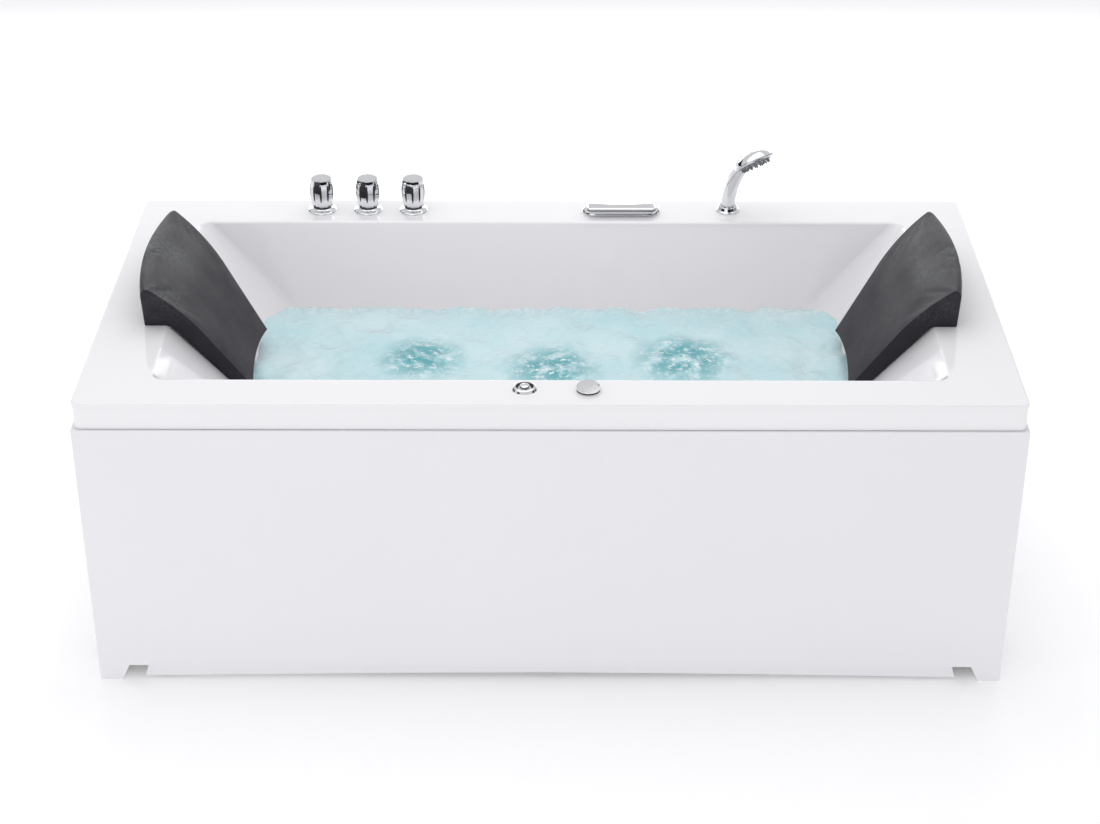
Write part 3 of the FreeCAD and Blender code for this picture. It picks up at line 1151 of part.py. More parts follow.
def check_and_write():
    """Stop on any failed feature or bad solid, then write each sub-part's STEP file."""
    doc.recompute()
    failed = [thing.Name for thing in doc.Objects if {"Invalid", "Error"} & set(thing.State)]
    failed += [node.Label for node in nodes if node.Shape.isNull() or not node.Shape.isValid()]
    if failed:
        raise ValueError(f"these failed: {failed}")
    os.makedirs("parts", exist_ok=True)
    for node in nodes:
        node.Shape.exportStep(f"parts/{node.Label}.step")
    print(f"{len(nodes)} sub-parts, {sum(len(node.Shape.Solids) for node in nodes)} solids")


for build in (tub_shell, panels, panel_brackets, base_frame, support_board, levelling_feet, foot_lock_nuts,
              deck_lock_nuts, headrests, taps, tap_escutcheons, mixer_pipes, spout, shower, controls, drain,
              overflow, waste_pipework, jets, suction, water_pipes, air_pipes, pump, pump_tray):
    build()
check_and_write()
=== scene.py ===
"""Jetted bathtub for two in its studio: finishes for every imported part, padded headrests and filled water.

All in metres: the floor is z = 0, +X runs along the tub and the front apron faces -Y. New pieces are
numpy surfaces of two parameters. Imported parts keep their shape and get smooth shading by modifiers;
the padded headrests and the waterfall spout stand for theirs.
"""
from __future__ import annotations

import logging
import math
from collections.abc import Sequence
from dataclasses import dataclass
from enum import Enum

import bpy
import numpy as np
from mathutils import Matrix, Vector


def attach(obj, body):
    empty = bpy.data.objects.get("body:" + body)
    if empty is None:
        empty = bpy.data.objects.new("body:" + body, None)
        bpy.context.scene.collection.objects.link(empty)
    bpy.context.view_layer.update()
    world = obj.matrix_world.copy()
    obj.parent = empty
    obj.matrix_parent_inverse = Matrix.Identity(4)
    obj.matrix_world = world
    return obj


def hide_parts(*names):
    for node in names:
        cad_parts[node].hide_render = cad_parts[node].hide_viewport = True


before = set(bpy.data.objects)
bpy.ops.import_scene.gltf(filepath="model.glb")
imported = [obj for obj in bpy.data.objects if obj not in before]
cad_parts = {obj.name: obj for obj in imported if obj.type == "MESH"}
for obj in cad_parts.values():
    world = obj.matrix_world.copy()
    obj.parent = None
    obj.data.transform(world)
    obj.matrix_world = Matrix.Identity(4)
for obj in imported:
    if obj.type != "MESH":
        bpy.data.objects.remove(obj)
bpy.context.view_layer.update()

LOG = logging.getLogger("bathtub")
Array, Object, Socket = np.ndarray, bpy.types.Object, bpy.types.NodeSocket
Pair = tuple[float, float]
Triple = tuple[float, float, float]
Inputs = dict[int | str, object]
frozen = dataclass(frozen=True)
RIM_Z = 0.636
SIDE_SLOPE = 0.23444
SMOOTH_ANGLE = math.radians(32)
BACK_FACING = 0.08
WELD, MERGE = 1e-6, 1e-5


class Side(Enum):
    """The two ends of the tub."""

    LEFT = -1
    RIGHT = 1


# ---- surfaces
def grid_faces(rows: int, columns: int, wrap: bool = False, flip: bool = False) -> Array:
    """Quads of a rows x columns grid, row by row.

    Args:
        rows: Points along the first parameter.
        columns: Points along the second parameter.
        wrap: True where the second parameter closes on itself.
        flip: True to turn the faces over.

    Returns:
        Corner numbers, four to a face.
    """
    ring = columns if wrap else columns - 1
    i, j = np.meshgrid(np.arange(rows - 1), np.arange(ring), indexing="ij")
    after = (j + 1) % columns
    here, above = i * columns, (i + 1) * columns
    quads = np.stack([here + j, here + after, above + after, above + j], -1).reshape(-1, 4)
    return quads[:, ::-1] if flip else quads


def linked(name: str, data: bpy.types.ID) -> Object:
    """A new object of that data, linked to the scene.

    Args:
        name: The object's name.
        data: Its mesh, light or camera.

    Returns:
        The object.
    """
    made = bpy.data.objects.new(name, data)
    bpy.context.scene.collection.objects.link(made)
    return made


def make_mesh(name: str, points: Array, quads: Array, weld: float = 0.0) -> Object:
    """An object at the origin from points and quads, with doubles merged where asked.

    A quad with two equal neighbouring corners, as at a pole, becomes a triangle.

    Args:
        name: The piece's name.
        points: Corners, shape (n, 3), in metres.
        quads: Corner numbers, shape (m, 4).
        weld: Distance below which corners are merged; 0 leaves them.

    Returns:
        The object, linked to the scene and shaded smooth.
    """
    if weld > 0:
        _, first, place = np.unique(np.round(points / weld).astype(np.int64), axis=0, return_index=True,
                                    return_inverse=True)
        points, quads = points[first], place.reshape(-1)[quads]
    differs = quads != np.roll(quads, -1, axis=1)
    quads, differs = quads[differs.sum(1) > 2], differs[differs.sum(1) > 2]
    corners, sizes = quads[differs], differs.sum(1)
    mesh = bpy.data.meshes.new(name)
    mesh.vertices.add(len(points))
    mesh.vertices.foreach_set("co", points.astype(np.float32).ravel())
    mesh.loops.add(len(corners))
    mesh.loops.foreach_set("vertex_index", corners.astype(np.int32))
    mesh.polygons.add(len(sizes))
    mesh.polygons.foreach_set("loop_start", (np.cumsum(sizes) - sizes).astype(np.int32))
    mesh.polygons.foreach_set("use_smooth", np.ones(len(sizes), dtype=bool))
    mesh.update(calc_edges=True)
    mesh.validate()
    return linked(name, mesh)


def resampled(line: Array, count: int) -> Array:
    """The open line walked in equal steps: p(t) at arc length t * L, for t = 0 .. 1.

    Args:
        line: Points of the line, shape (n, d).
        count: Points to return.

    Returns:
        Points, shape (count, d).
    """
    run = np.concatenate([[0.0], np.cumsum(np.linalg.norm(np.diff(line, axis=0), axis=1))])
    steps = np.linspace(0.0, run[-1], count)
    return np.stack([np.interp(steps, run, line[:, k]) for k in range(line.shape[1])], -1)


def arc(start: Sequence[float], end: Sequence[float], radius: float, count: int) -> Array:
    """Points c + r (cos a, sin a) of the short arc from start to end, turning left.

    Args:
        start: First point, (across, up).
        end: Last point, (across, up).
        radius: The arc's radius.
        count: Points to return.

    Returns:
        Points, shape (count, 2).
    """
    first, last = np.asarray(start, float), np.asarray(end, float)
    chord = last - first
    length = float(np.hypot(*chord))
    side = np.array([-chord[1], chord[0]]) / length
    centre = (first + last) / 2 + side * math.sqrt(max(radius**2 - length**2 / 4, 0.0))
    a, b = (math.atan2(*(p - centre)[::-1]) for p in (first, last))
    angles = a + np.linspace(0.0, (b - a) % math.tau, count)
    return centre + radius * np.stack([np.cos(angles), np.sin(angles)], -1)


def rounded_plan(half: Pair, corner: float, count: int) -> tuple[Array, Array]:
    """A rectangle with quarter-circle corners, walked in equal steps, and its outward normals.

    Args:
        half: Half length and half width.
        corner: Corner radius.
        count: Points round the outline.

    Returns:
        Points and unit normals, each of shape (count, 2).
    """
    turn = np.linspace(0.0, math.pi / 2, 9) + np.arange(4)[:, None] * math.pi / 2
    signs = np.array([(1, 1), (-1, 1), (-1, -1), (1, -1)])[:, None]
    line = signs * (np.array(half) - corner) + corner * np.stack([np.cos(turn), np.sin(turn)], -1)
    points = resampled(np.vstack([*line, line[0, :1]]), count + 1)[:-1]
    along = np.roll(points, -1, axis=0) - np.roll(points, 1, axis=0)
    along /= np.linalg.norm(along, axis=1, keepdims=True)
    return points, np.stack([along[:, 1], -along[:, 0]], -1)


def slab(name: str, plan: tuple[Array, Array], rings: Sequence[Triple],
         middle: Vector, groove: Array | None = None) -> Object:
    """A moulded or turned piece: P(s, t) = middle + share(t) (plan(s) - inset(t) n(s)) at height z(t).

    On a plan of radius 1 the share is a radius.

    Args:
        name: The piece's name.
        plan: The outline's points and normals.
        rings: (share, inset, height) from the lower pole to the upper one.
        middle: Where the outline's middle stands.
        groove: Extra inset, shape (rings, points of the plan), where a groove is cut.

    Returns:
        The object.
    """
    line, normal = plan
    share, inset, height = (np.array(column)[:, None, None] for column in zip(*rings))
    inset = inset + (groove[..., None] if groove is not None else 0.0)
    flat = share * (line - inset * normal)
    points = np.concatenate([flat, np.broadcast_to(height, (*flat.shape[:2], 1))], -1) + np.array(middle)
    return make_mesh(name, points.reshape(-1, 3), grid_faces(len(rings), len(line), wrap=True), WELD)


# ---- finishes
class NodeGraph:
    """A node tree built node by node."""

    def __init__(self, tree: bpy.types.NodeTree) -> None:
        """Empties the tree."""
        self.tree = tree
        tree.nodes.clear()

    def node(self, kind: str, inputs: Inputs | None = None, **settings: object) -> bpy.types.Node:
        """Adds a node.

        Args:
            kind: The node's type.
            inputs: What each input, by name or number, is linked to or set to.
            settings: The node's own settings.

        Returns:
            The node.
        """
        made = self.tree.nodes.new(kind)
        for key, value in settings.items():
            setattr(made, key, value)
        for key, value in (inputs or {}).items():
            self.feed(made.inputs[key], value)
        return made

    def feed(self, socket: Socket, value: object) -> None:
        """Links an output to the socket, or sets the socket's own value.

        Args:
            socket: An input socket.
            value: An output socket, or the value.
        """
        if isinstance(value, Socket):
            self.tree.links.new(value, socket)
        else:
            socket.default_value = value

    def split(self, value: Socket, kind: str = "XYZ") -> Sequence[Socket]:
        """The three parts of a vector, or of a colour where kind is "Color"."""
        return self.node(f"ShaderNodeSeparate{kind}", {0: value}).outputs

    def spread(self, value: Socket, low: float, high: float, start: float = 0.0,
               end: float = 1.0) -> Socket:
        """value, from start .. end, mapped to low .. high and clamped."""
        inputs = {"Value": value, "From Min": start, "From Max": end, "To Min": low, "To Max": high}
        return self.node("ShaderNodeMapRange", inputs).outputs["Result"]

    def maths(self, operation: str, first: object, *others: object) -> Socket:
        """Math nodes in a chain: ((first, other), other) and so on.

        Args:
            operation: What each node does.
            first: A socket or number.
            others: More of them; none for a function of one.

        Returns:
            The last node's output.
        """
        for other in others or (0.0,):
            first = self.node("ShaderNodeMath", {0: first, 1: other}, operation=operation).outputs[0]
        return first

    def blend(self, share: object, first: object, second: object) -> Socket:
        """Two colours mixed by share; a colour is a socket or three numbers."""
        first, second = ((*value, 1.0) if isinstance(value, tuple) else value for value in (first, second))
        return self.node("ShaderNodeMix", {0: share, 6: first, 7: second}, data_type="RGBA").outputs[2]


class ShaderGraph(NodeGraph):
    """A material's graph round one Principled shader."""

    def __init__(self, name: str) -> None:
        """Starts an empty material with its shader and output.

        Args:
            name: The material's name.
        """
        self.material = bpy.data.materials.new(name)
        self.material.use_nodes = True
        super().__init__(self.material.node_tree)
        self.shader = self.node("ShaderNodeBsdfPrincipled")
        self.node("ShaderNodeOutputMaterial", {"Surface": self.shader.outputs["BSDF"]})
        self.coordinates = self.node("ShaderNodeTexCoord").outputs["Object"]

    def stretched(self, scale: Triple, turn: Triple = (0, 0, 0)) -> Socket:
        """Object coordinates scaled and turned by a Mapping node."""
        inputs = {"Vector": self.coordinates, "Scale": scale, "Rotation": turn}
        return self.node("ShaderNodeMapping", inputs).outputs["Vector"]

    def noise(self, scale: float, detail: float = 3.0, vector: Socket | None = None,
              rough: float = 0.5) -> Socket:
        """Fractal noise, 0 .. 1, at so many cells to the metre."""
        inputs = {"Vector": vector or self.coordinates, "Scale": scale, "Detail": detail, "Roughness": rough}
        return self.node("ShaderNodeTexNoise", inputs).outputs["Fac"]

    def cells(self, scale: float, feature: str = "F1", vector: Socket | None = None,
              output: str = "Distance") -> Socket:
        """Voronoi cells at so many to the metre."""
        inputs = {"Vector": vector or self.coordinates, "Scale": scale}
        return self.node("ShaderNodeTexVoronoi", inputs, feature=feature).outputs[output]

    def shift(self, operation: str, inputs: Inputs) -> bpy.types.Node:
        """One Vector Math node."""
        return self.node("ShaderNodeVectorMath", inputs, operation=operation)

    def relief(self, *layers: tuple[Socket, float, float]) -> None:
        """Stacks bumps on the shader's normal.

        Args:
            layers: (height, strength, depth in metres) of each bump, the lowest first.
        """
        below: Inputs = {}
        for height, strength, depth in layers:
            bump = self.node("ShaderNodeBump", {"Strength": strength, "Distance": depth, "Height": height, **below})
            below = {"Normal": bump.outputs["Normal"]}
        self.feed(self.shader.inputs["Normal"], below["Normal"])

    def surface(self, **values: object) -> None:
        """Sets or links the shader's sockets; an underscore in a name stands for a space."""
        for key, value in values.items():
            self.feed(self.shader.inputs[key.replace("_", " ")], (*value, 1.0) if isinstance(value, tuple) else value)


@frozen
class Finish:
    """A plain finish: a colour that drifts a little, uneven gloss and a fine relief.

    The drift is colour * (1 - tint * noise(patch)), the gloss rough +- uneven * noise(grain).
    """

    name: str
    colour: Triple
    rough: float
    uneven: float = 0.04
    metallic: float = 0.0
    tint: float = 0.04
    patch: float = 4.0
    grain: float = 220.0
    depth: float = 0.0001
    strength: float = 0.15
    coat: float = 0.0

    def material(self) -> bpy.types.Material:
        """The finish's material, made once."""
        made = bpy.data.materials.get(self.name)
        return made if made else self.build().material

    def build(self) -> ShaderGraph:
        """Builds the shader graph.

        Returns:
            The graph.
        """
        graph = ShaderGraph(self.name)
        graph.surface(Base_Color=self.toned(graph), Metallic=self.metallic, Roughness=self.gloss(graph),
                      Coat_Weight=self.coat, Coat_Roughness=0.04)
        self.emboss(graph)
        return graph

    def toned(self, graph: ShaderGraph) -> Socket:
        """The colour, darker in broad patches."""
        patches = graph.spread(graph.noise(self.patch, 2), 0, 1, 0.3, 0.7)
        return graph.blend(patches, self.colour, self.darker(1 - self.tint))

    def darker(self, share: float) -> Triple:
        """That share of the colour."""
        return tuple(c * share for c in self.colour)

    def gloss(self, graph: ShaderGraph) -> Socket:
        """Roughness that changes from place to place."""
        low, high = max(self.rough - self.uneven, 0.01), self.rough + self.uneven
        return graph.spread(graph.noise(self.grain / 4, 4), low, high, 0.3, 0.7)

    def emboss(self, graph: ShaderGraph) -> None:
        """The fine relief."""
        graph.relief((graph.noise(self.grain, 3), self.strength, self.depth))


@frozen
class Laminate(Finish):
    """Rolled glass-fibre laminate behind the acrylic: matted strands under resin."""

    def toned(self, graph: ShaderGraph) -> Socket:
        """Resin colour with pale strands in two directions."""
        return graph.blend(graph.spread(self.strands(graph), 0, 1, 0.35, 0.65), self.darker(0.72), self.colour)

    def strands(self, graph: ShaderGraph) -> Socket:
        """Two crossed layers of drawn-out noise."""
        layers = ((190, 26, 190), (0.2, 0.1, 0.5)), ((30, 200, 170), (0.1, 0.4, -0.6))
        return graph.maths("MAXIMUM", *(graph.noise(1, 2, graph.stretched(*layer)) for layer in layers))

    def emboss(self, graph: ShaderGraph) -> None:
        """Strands stand out of the resin, which is lumpy on a broader scale."""
        graph.relief((graph.noise(22, 3), 0.5, 0.003), (self.strands(graph), 0.6, 0.0008))


@frozen
class Leather(Finish):
    """Moulded foam skin with a leather grain: creased pebbles over fine pores."""

    pebble: float = 520.0
    # painted sheen: the pale colour of a highlight and the heights over which it is painted
    painted_sheen_colour: Triple = (0.070, 0.078, 0.080)
    painted_sheen_heights: Pair = (0.630, 0.705)

    def build(self) -> ShaderGraph:
        """The plain finish with less mirror in it, as foam skin has.

        Returns:
            The graph.
        """
        graph = super().build()
        graph.surface(Specular_IOR_Level=0.36, Specular_Tint=(0.93, 0.90, 1.0))
        return graph

    def toned(self, graph: ShaderGraph) -> Socket:
        """The colour, with a painted sheen of pale specks high on the shoulder, share = high(z) patch(p) speck(p).

        Args:
            graph: The finish's graph.

        Returns:
            The colour.
        """
        high = graph.spread(graph.split(graph.coordinates)[2], 0, 1, *self.painted_sheen_heights)
        patch = graph.spread(graph.noise(13, 2), 0.1, 1, 0.40, 0.62)
        speck = graph.spread(graph.noise(170, 4, rough=0.75), 0.05, 1, 0.46, 0.60)
        # painted sheen: pale specks blended into the colour high up on the pad
        return graph.blend(graph.maths("MULTIPLY", high, patch, speck), super().toned(graph), self.painted_sheen_colour)

    def emboss(self, graph: ShaderGraph) -> None:
        """height = creases between warped cells, plus pores, plus broad hand marks.

        Args:
            graph: The finish's graph.
        """
        ripple = graph.node("ShaderNodeTexNoise", {"Vector": graph.coordinates, "Scale": self.pebble / 3})
        push = graph.shift("SCALE", {0: ripple.outputs["Color"], "Scale": 1.2 / self.pebble})
        warped = graph.shift("ADD", {0: graph.coordinates, 1: push.outputs[0]}).outputs[0]
        crease = graph.spread(graph.cells(self.pebble, "DISTANCE_TO_EDGE", warped), 0, 1, 0.0, 0.16)
        graph.relief((graph.noise(9, 2), 0.10, 0.004), (crease, 0.55, 0.0005),
                     (graph.noise(self.pebble * 3, 2), 0.25, 0.0001))

    def gloss(self, graph: ShaderGraph) -> Socket:
        """Worn smoother in speckled patches, as the light shows it."""
        speck = graph.maths("MULTIPLY", graph.noise(self.pebble, 2), graph.noise(14, 3))
        return graph.spread(speck, self.rough + self.uneven, self.rough - self.uneven, 0.15, 0.38)


@frozen
class Galvanised(Finish):
    """Hot-dipped zinc: spangle of pale and dark crystals."""

    spangle: float = 95.0

    def toned(self, graph: ShaderGraph) -> Socket:
        """Each crystal has a grey of its own."""
        return graph.blend(self.crystals(graph)[0], self.colour, self.darker(1 - self.tint))

    def gloss(self, graph: ShaderGraph) -> Socket:
        """Each crystal has a gloss of its own."""
        return graph.spread(self.crystals(graph)[1], self.rough - self.uneven, self.rough + self.uneven)

    def crystals(self, graph: ShaderGraph) -> Sequence[Socket]:
        """Three random numbers, each the same all over one crystal."""
        return graph.split(graph.cells(self.spangle, output="Color"), "Color")


@frozen
class Plywood(Finish):
    """Sealed birch plywood: rotary-cut grain on the faces, stacked plies on the edges."""

    ply: float = 0.0018

    def toned(self, graph: ShaderGraph) -> Socket:
        """Grain drawn out along the board, crossed with bands by height.

        Args:
            graph: The finish's graph.

        Returns:
            The colour.
        """
        figure = graph.noise(1, 4, graph.stretched((3.5, 42, 30)), 0.6)
        fibre = graph.noise(1, 2, graph.stretched((24, 900, 900)))
        layer = graph.maths("PINGPONG", graph.split(graph.coordinates)[2], self.ply)
        dark = self.darker(0.62)
        grain = graph.blend(graph.spread(figure, 0, 1, 0.35, 0.7), self.colour, dark)
        lined = graph.blend(graph.spread(fibre, 0, 0.35, 0.4, 0.7), grain, dark)
        return graph.blend(graph.spread(layer, 0, 0.5, 0.0006, 0.0012), lined, self.darker(0.5))


@frozen
class Turned(Finish):
    """Machined metal: fine rings left by the tool, square to the height."""

    rings: float = 1500.0

    def emboss(self, graph: ShaderGraph) -> None:
        """Rings by height, lightly broken up."""
        graph.relief((graph.noise(1, 1, graph.stretched((20, 20, self.rings))), self.strength, self.depth))


@frozen
class Hammered(Finish):
    """Enamel that dries in small dimples over cast metal."""

    def emboss(self, graph: ShaderGraph) -> None:
        """Soft round dimples."""
        graph.relief((graph.cells(self.grain, "SMOOTH_F1"), self.strength, self.depth))


@frozen
class Speckled(Finish):
    """Glass-filled nylon: pale fibre specks in a dark ground."""

    def toned(self, graph: ShaderGraph) -> Socket:
        """Specks where short drawn-out noise peaks."""
        speck = graph.spread(graph.noise(1, 2, graph.stretched((900, 260, 500), (0.3, 0.8, 0.2))), 0, 1, 0.62, 0.72)
        return graph.blend(speck, self.colour, tuple(min(c + 0.10, 1.0) for c in self.colour))


@frozen
class ChurnedWater(Finish):
    """Aqua water over white acrylic, foamy where the jets and the walls stir it."""

    jets: tuple[Triple, ...] = ()
    back: float = 0.0
    pale: Triple = (0.66, 0.85, 0.88)
    deep: Triple = (0.10, 0.42, 0.46)
    foam: Triple = (0.93, 0.97, 0.98)

    def build(self) -> ShaderGraph:
        """Aqua ground, teal depth and white froth round each plume, painted highlight streaks, ripples as bumps.

        Returns:
            The graph.
        """
        graph = ShaderGraph(self.name)
        churn = graph.noise(26, 8, rough=0.66)
        froth = graph.noise(64, 8, rough=0.72)
        ground = graph.blend(graph.spread(graph.noise(7, 5), 0, 1, 0.35, 0.68), self.colour, self.pale)
        plume = self.plumes(graph)
        ragged = graph.maths("MULTIPLY", plume, graph.spread(churn, 0, 1, 0.37, 0.54))
        teal = graph.blend(ragged, ground, self.deep)
        bubble = graph.maths("MULTIPLY", graph.spread(plume, 0.12, 1), graph.spread(froth, 0, 1, 0.53, 0.63))
        near_wall = graph.spread(graph.split(graph.coordinates)[1], 0, 0.75, self.back - 0.05, self.back)
        fringe = graph.maths("MULTIPLY", near_wall, graph.spread(graph.noise(95, 6, rough=0.7), 0, 1, 0.46, 0.60))
        # painted highlight: thin pale streaks, in the foam colour, for glints on the water
        painted_highlight_streaks = graph.spread(graph.noise(1, 4, graph.stretched((150, 55, 1)), 0.7), 0, 0.8, 0.66, 0.72)
        white = graph.maths("MAXIMUM", bubble, fringe, painted_highlight_streaks)
        graph.surface(Base_Color=graph.blend(white, teal, self.foam), Roughness=graph.spread(froth, 0.10, 0.22),
                      IOR=1.33, Alpha=0.93)
        graph.relief((graph.noise(15, 4), 0.6, 0.012), (churn, 0.55, 0.006))
        return graph

    def plumes(self, graph: ShaderGraph) -> Socket:
        """The largest of 1 - (|p - jet| - 0.35 reach) / (0.65 reach) over the plumes, clamped.

        Args:
            graph: The finish's graph.

        Returns:
            The share, 0 .. 1.
        """
        flat = graph.stretched((1, 1, 0))
        return graph.maths("MAXIMUM", *(
            graph.spread(graph.shift("DISTANCE", {0: flat, 1: (x, y, 0)}).outputs["Value"], 1, 0, reach * 0.35, reach)
            for x, y, reach in self.jets))


class Palette(Enum):
    """Every finish on the object."""

    ACRYLIC = Finish("gloss_white_acrylic", (0.895, 0.890, 0.907), 0.10, 0.03, tint=0.008, patch=3, grain=75,
                     depth=0.0002, strength=0.025, coat=0.5)
    PANEL = Finish("satin_white_acrylic", (0.85, 0.843, 0.87), 0.24, 0.03, tint=0.012, patch=2.2, grain=60,
                   depth=0.0002, strength=0.03, coat=0.25)
    LAMINATE = Laminate("glass_fibre_laminate", (0.72, 0.73, 0.64), 0.42, 0.08)
    CHROME = Finish("polished_chrome", (0.80, 0.81, 0.83), 0.05, 0.02, metallic=1.0, tint=0.03, patch=40,
                    grain=700, depth=0.00002, strength=0.08)
    # painted shade and painted dark reflection: near-black for the flutes, the gaps and the spout's slot
    PAINTED_SHADE_AND_REFLECTION = Finish("painted_dark_shade_and_reflection", (0.012, 0.012, 0.014), 0.18, 0.05, tint=0.3, patch=80, grain=600,
                     depth=0.00003)
    LEATHER = Leather("grained_charcoal_skin", (0.0120, 0.0115, 0.0165), 0.36, 0.08, tint=0.22, patch=22)
    GALVANISED = Galvanised("galvanised_steel", (0.58, 0.60, 0.62), 0.42, 0.10, metallic=0.9, tint=0.24)
    ZINC = Turned("zinc_plated_steel", (0.62, 0.63, 0.62), 0.30, 0.06, metallic=1.0, tint=0.12, patch=60,
                  strength=0.3, depth=0.0002, rings=800)
    PLYWOOD = Plywood("sealed_plywood", (0.62, 0.45, 0.27), 0.38, 0.06, depth=0.0003, strength=0.3, coat=0.15)
    BRASS = Turned("machined_brass", (0.76, 0.56, 0.26), 0.26, 0.07, metallic=1.0, tint=0.16, patch=45,
                   strength=0.25, depth=0.0001)
    STEEL = Turned("turned_steel", (0.60, 0.60, 0.61), 0.24, 0.05, metallic=1.0, tint=0.08, patch=50,
                   strength=0.3, depth=0.0001)
    SPRAY = Finish("spray_face_plastic", (0.20, 0.22, 0.24), 0.36, 0.06, tint=0.15, patch=60, grain=900)
    PIPE = Finish("moulded_white_pvc", (0.80, 0.80, 0.78), 0.30, 0.06, tint=0.06, patch=9, grain=160,
                  depth=0.0003, strength=0.12)
    AIR_LINE = Finish("clear_grey_hose", (0.66, 0.71, 0.74), 0.20, 0.05, tint=0.12, patch=30, grain=300, coat=0.4)
    NYLON = Speckled("glass_filled_nylon", (0.055, 0.056, 0.062), 0.44, 0.07, grain=500, depth=0.0002)
    MOTOR = Hammered("hammered_grey_enamel", (0.15, 0.17, 0.20), 0.34, 0.06, tint=0.12, patch=18, grain=420,
                     depth=0.0004, strength=0.5, coat=0.2)
    RUBBER = Finish("dull_rubber", (0.035, 0.035, 0.036), 0.68, 0.08, tint=0.2, patch=40, grain=650,
                    depth=0.0002, strength=0.35)


def smooth_by_angle(piece: Object) -> None:
    """Merges corners, splits sharp edges and weighs normals by face area.

    Args:
        piece: The piece, smoothed by modifiers alone.
    """
    piece.modifiers.new("merge", "WELD").merge_threshold = MERGE
    split = piece.modifiers.new("sharp_edges", "EDGE_SPLIT")
    split.split_angle, split.use_edge_sharp = SMOOTH_ANGLE, False
    piece.modifiers.new("flat_faces", "WEIGHTED_NORMAL").weight = 80
    piece.data.polygons.foreach_set("use_smooth", np.ones(len(piece.data.polygons), dtype=bool))


def wear(piece: Object, finish: Finish) -> None:
    """Gives a piece that finish alone."""
    piece.data.materials.clear()
    piece.data.materials.append(finish.material())


def dress(finish: Palette, *names: str) -> None:
    """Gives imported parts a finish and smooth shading.

    Args:
        finish: The finish.
        names: The parts' node names.
    """
    for name in names:
        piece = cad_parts[name]
        wear(piece, finish.value)
        smooth_by_angle(piece)
        LOG.info("%s dressed in %s", name, finish.value.name)


def vectors(items: bpy.types.bpy_prop_collection, what: str) -> Array:
    """Reads one vector of every face or corner.

    Args:
        items: A mesh's polygons or vertices.
        what: The vector's name.

    Returns:
        The vectors, shape (items, 3).
    """
    values = np.empty(len(items) * 3)
    items.foreach_get(what, values)
    return values.reshape(-1, 3)


def paint_faces(mesh: bpy.types.Mesh, finish: Palette, chosen: Array) -> None:
    """Gives some faces of a dressed mesh a second finish.

    Args:
        mesh: The mesh, which has one finish.
        finish: The second one.
        chosen: True for each face that gets it.
    """
    mesh.materials.append(finish.value.material())
    mesh.polygons.foreach_set("material_index", chosen.astype(np.int32))
    mesh.update()


def line_back(name: str, towards: Triple) -> None:
    """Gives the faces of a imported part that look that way, its hidden side, the laminate finish."""
    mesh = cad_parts[name].data
    paint_faces(mesh, Palette.LAMINATE, vectors(mesh.polygons, "normal") @ towards > BACK_FACING)


# ---- sub-assemblies
@dataclass
class Enclosure:
    """The moulded shell with its apron and end panels."""

    panels: tuple[tuple[str, Triple], ...] = (
        ("front_apron", (0, 1, 0)), ("left_end_panel", (1, 0, 0)), ("right_end_panel", (-1, 0, 0)))

    def build(self) -> None:
        """Gloss acrylic on show, laminate behind."""
        dress(Palette.ACRYLIC, "tub_shell")
        line_back("tub_shell", (0, 0, -1))
        for name, inward in self.panels:
            dress(Palette.PANEL, name)
            line_back(name, inward)


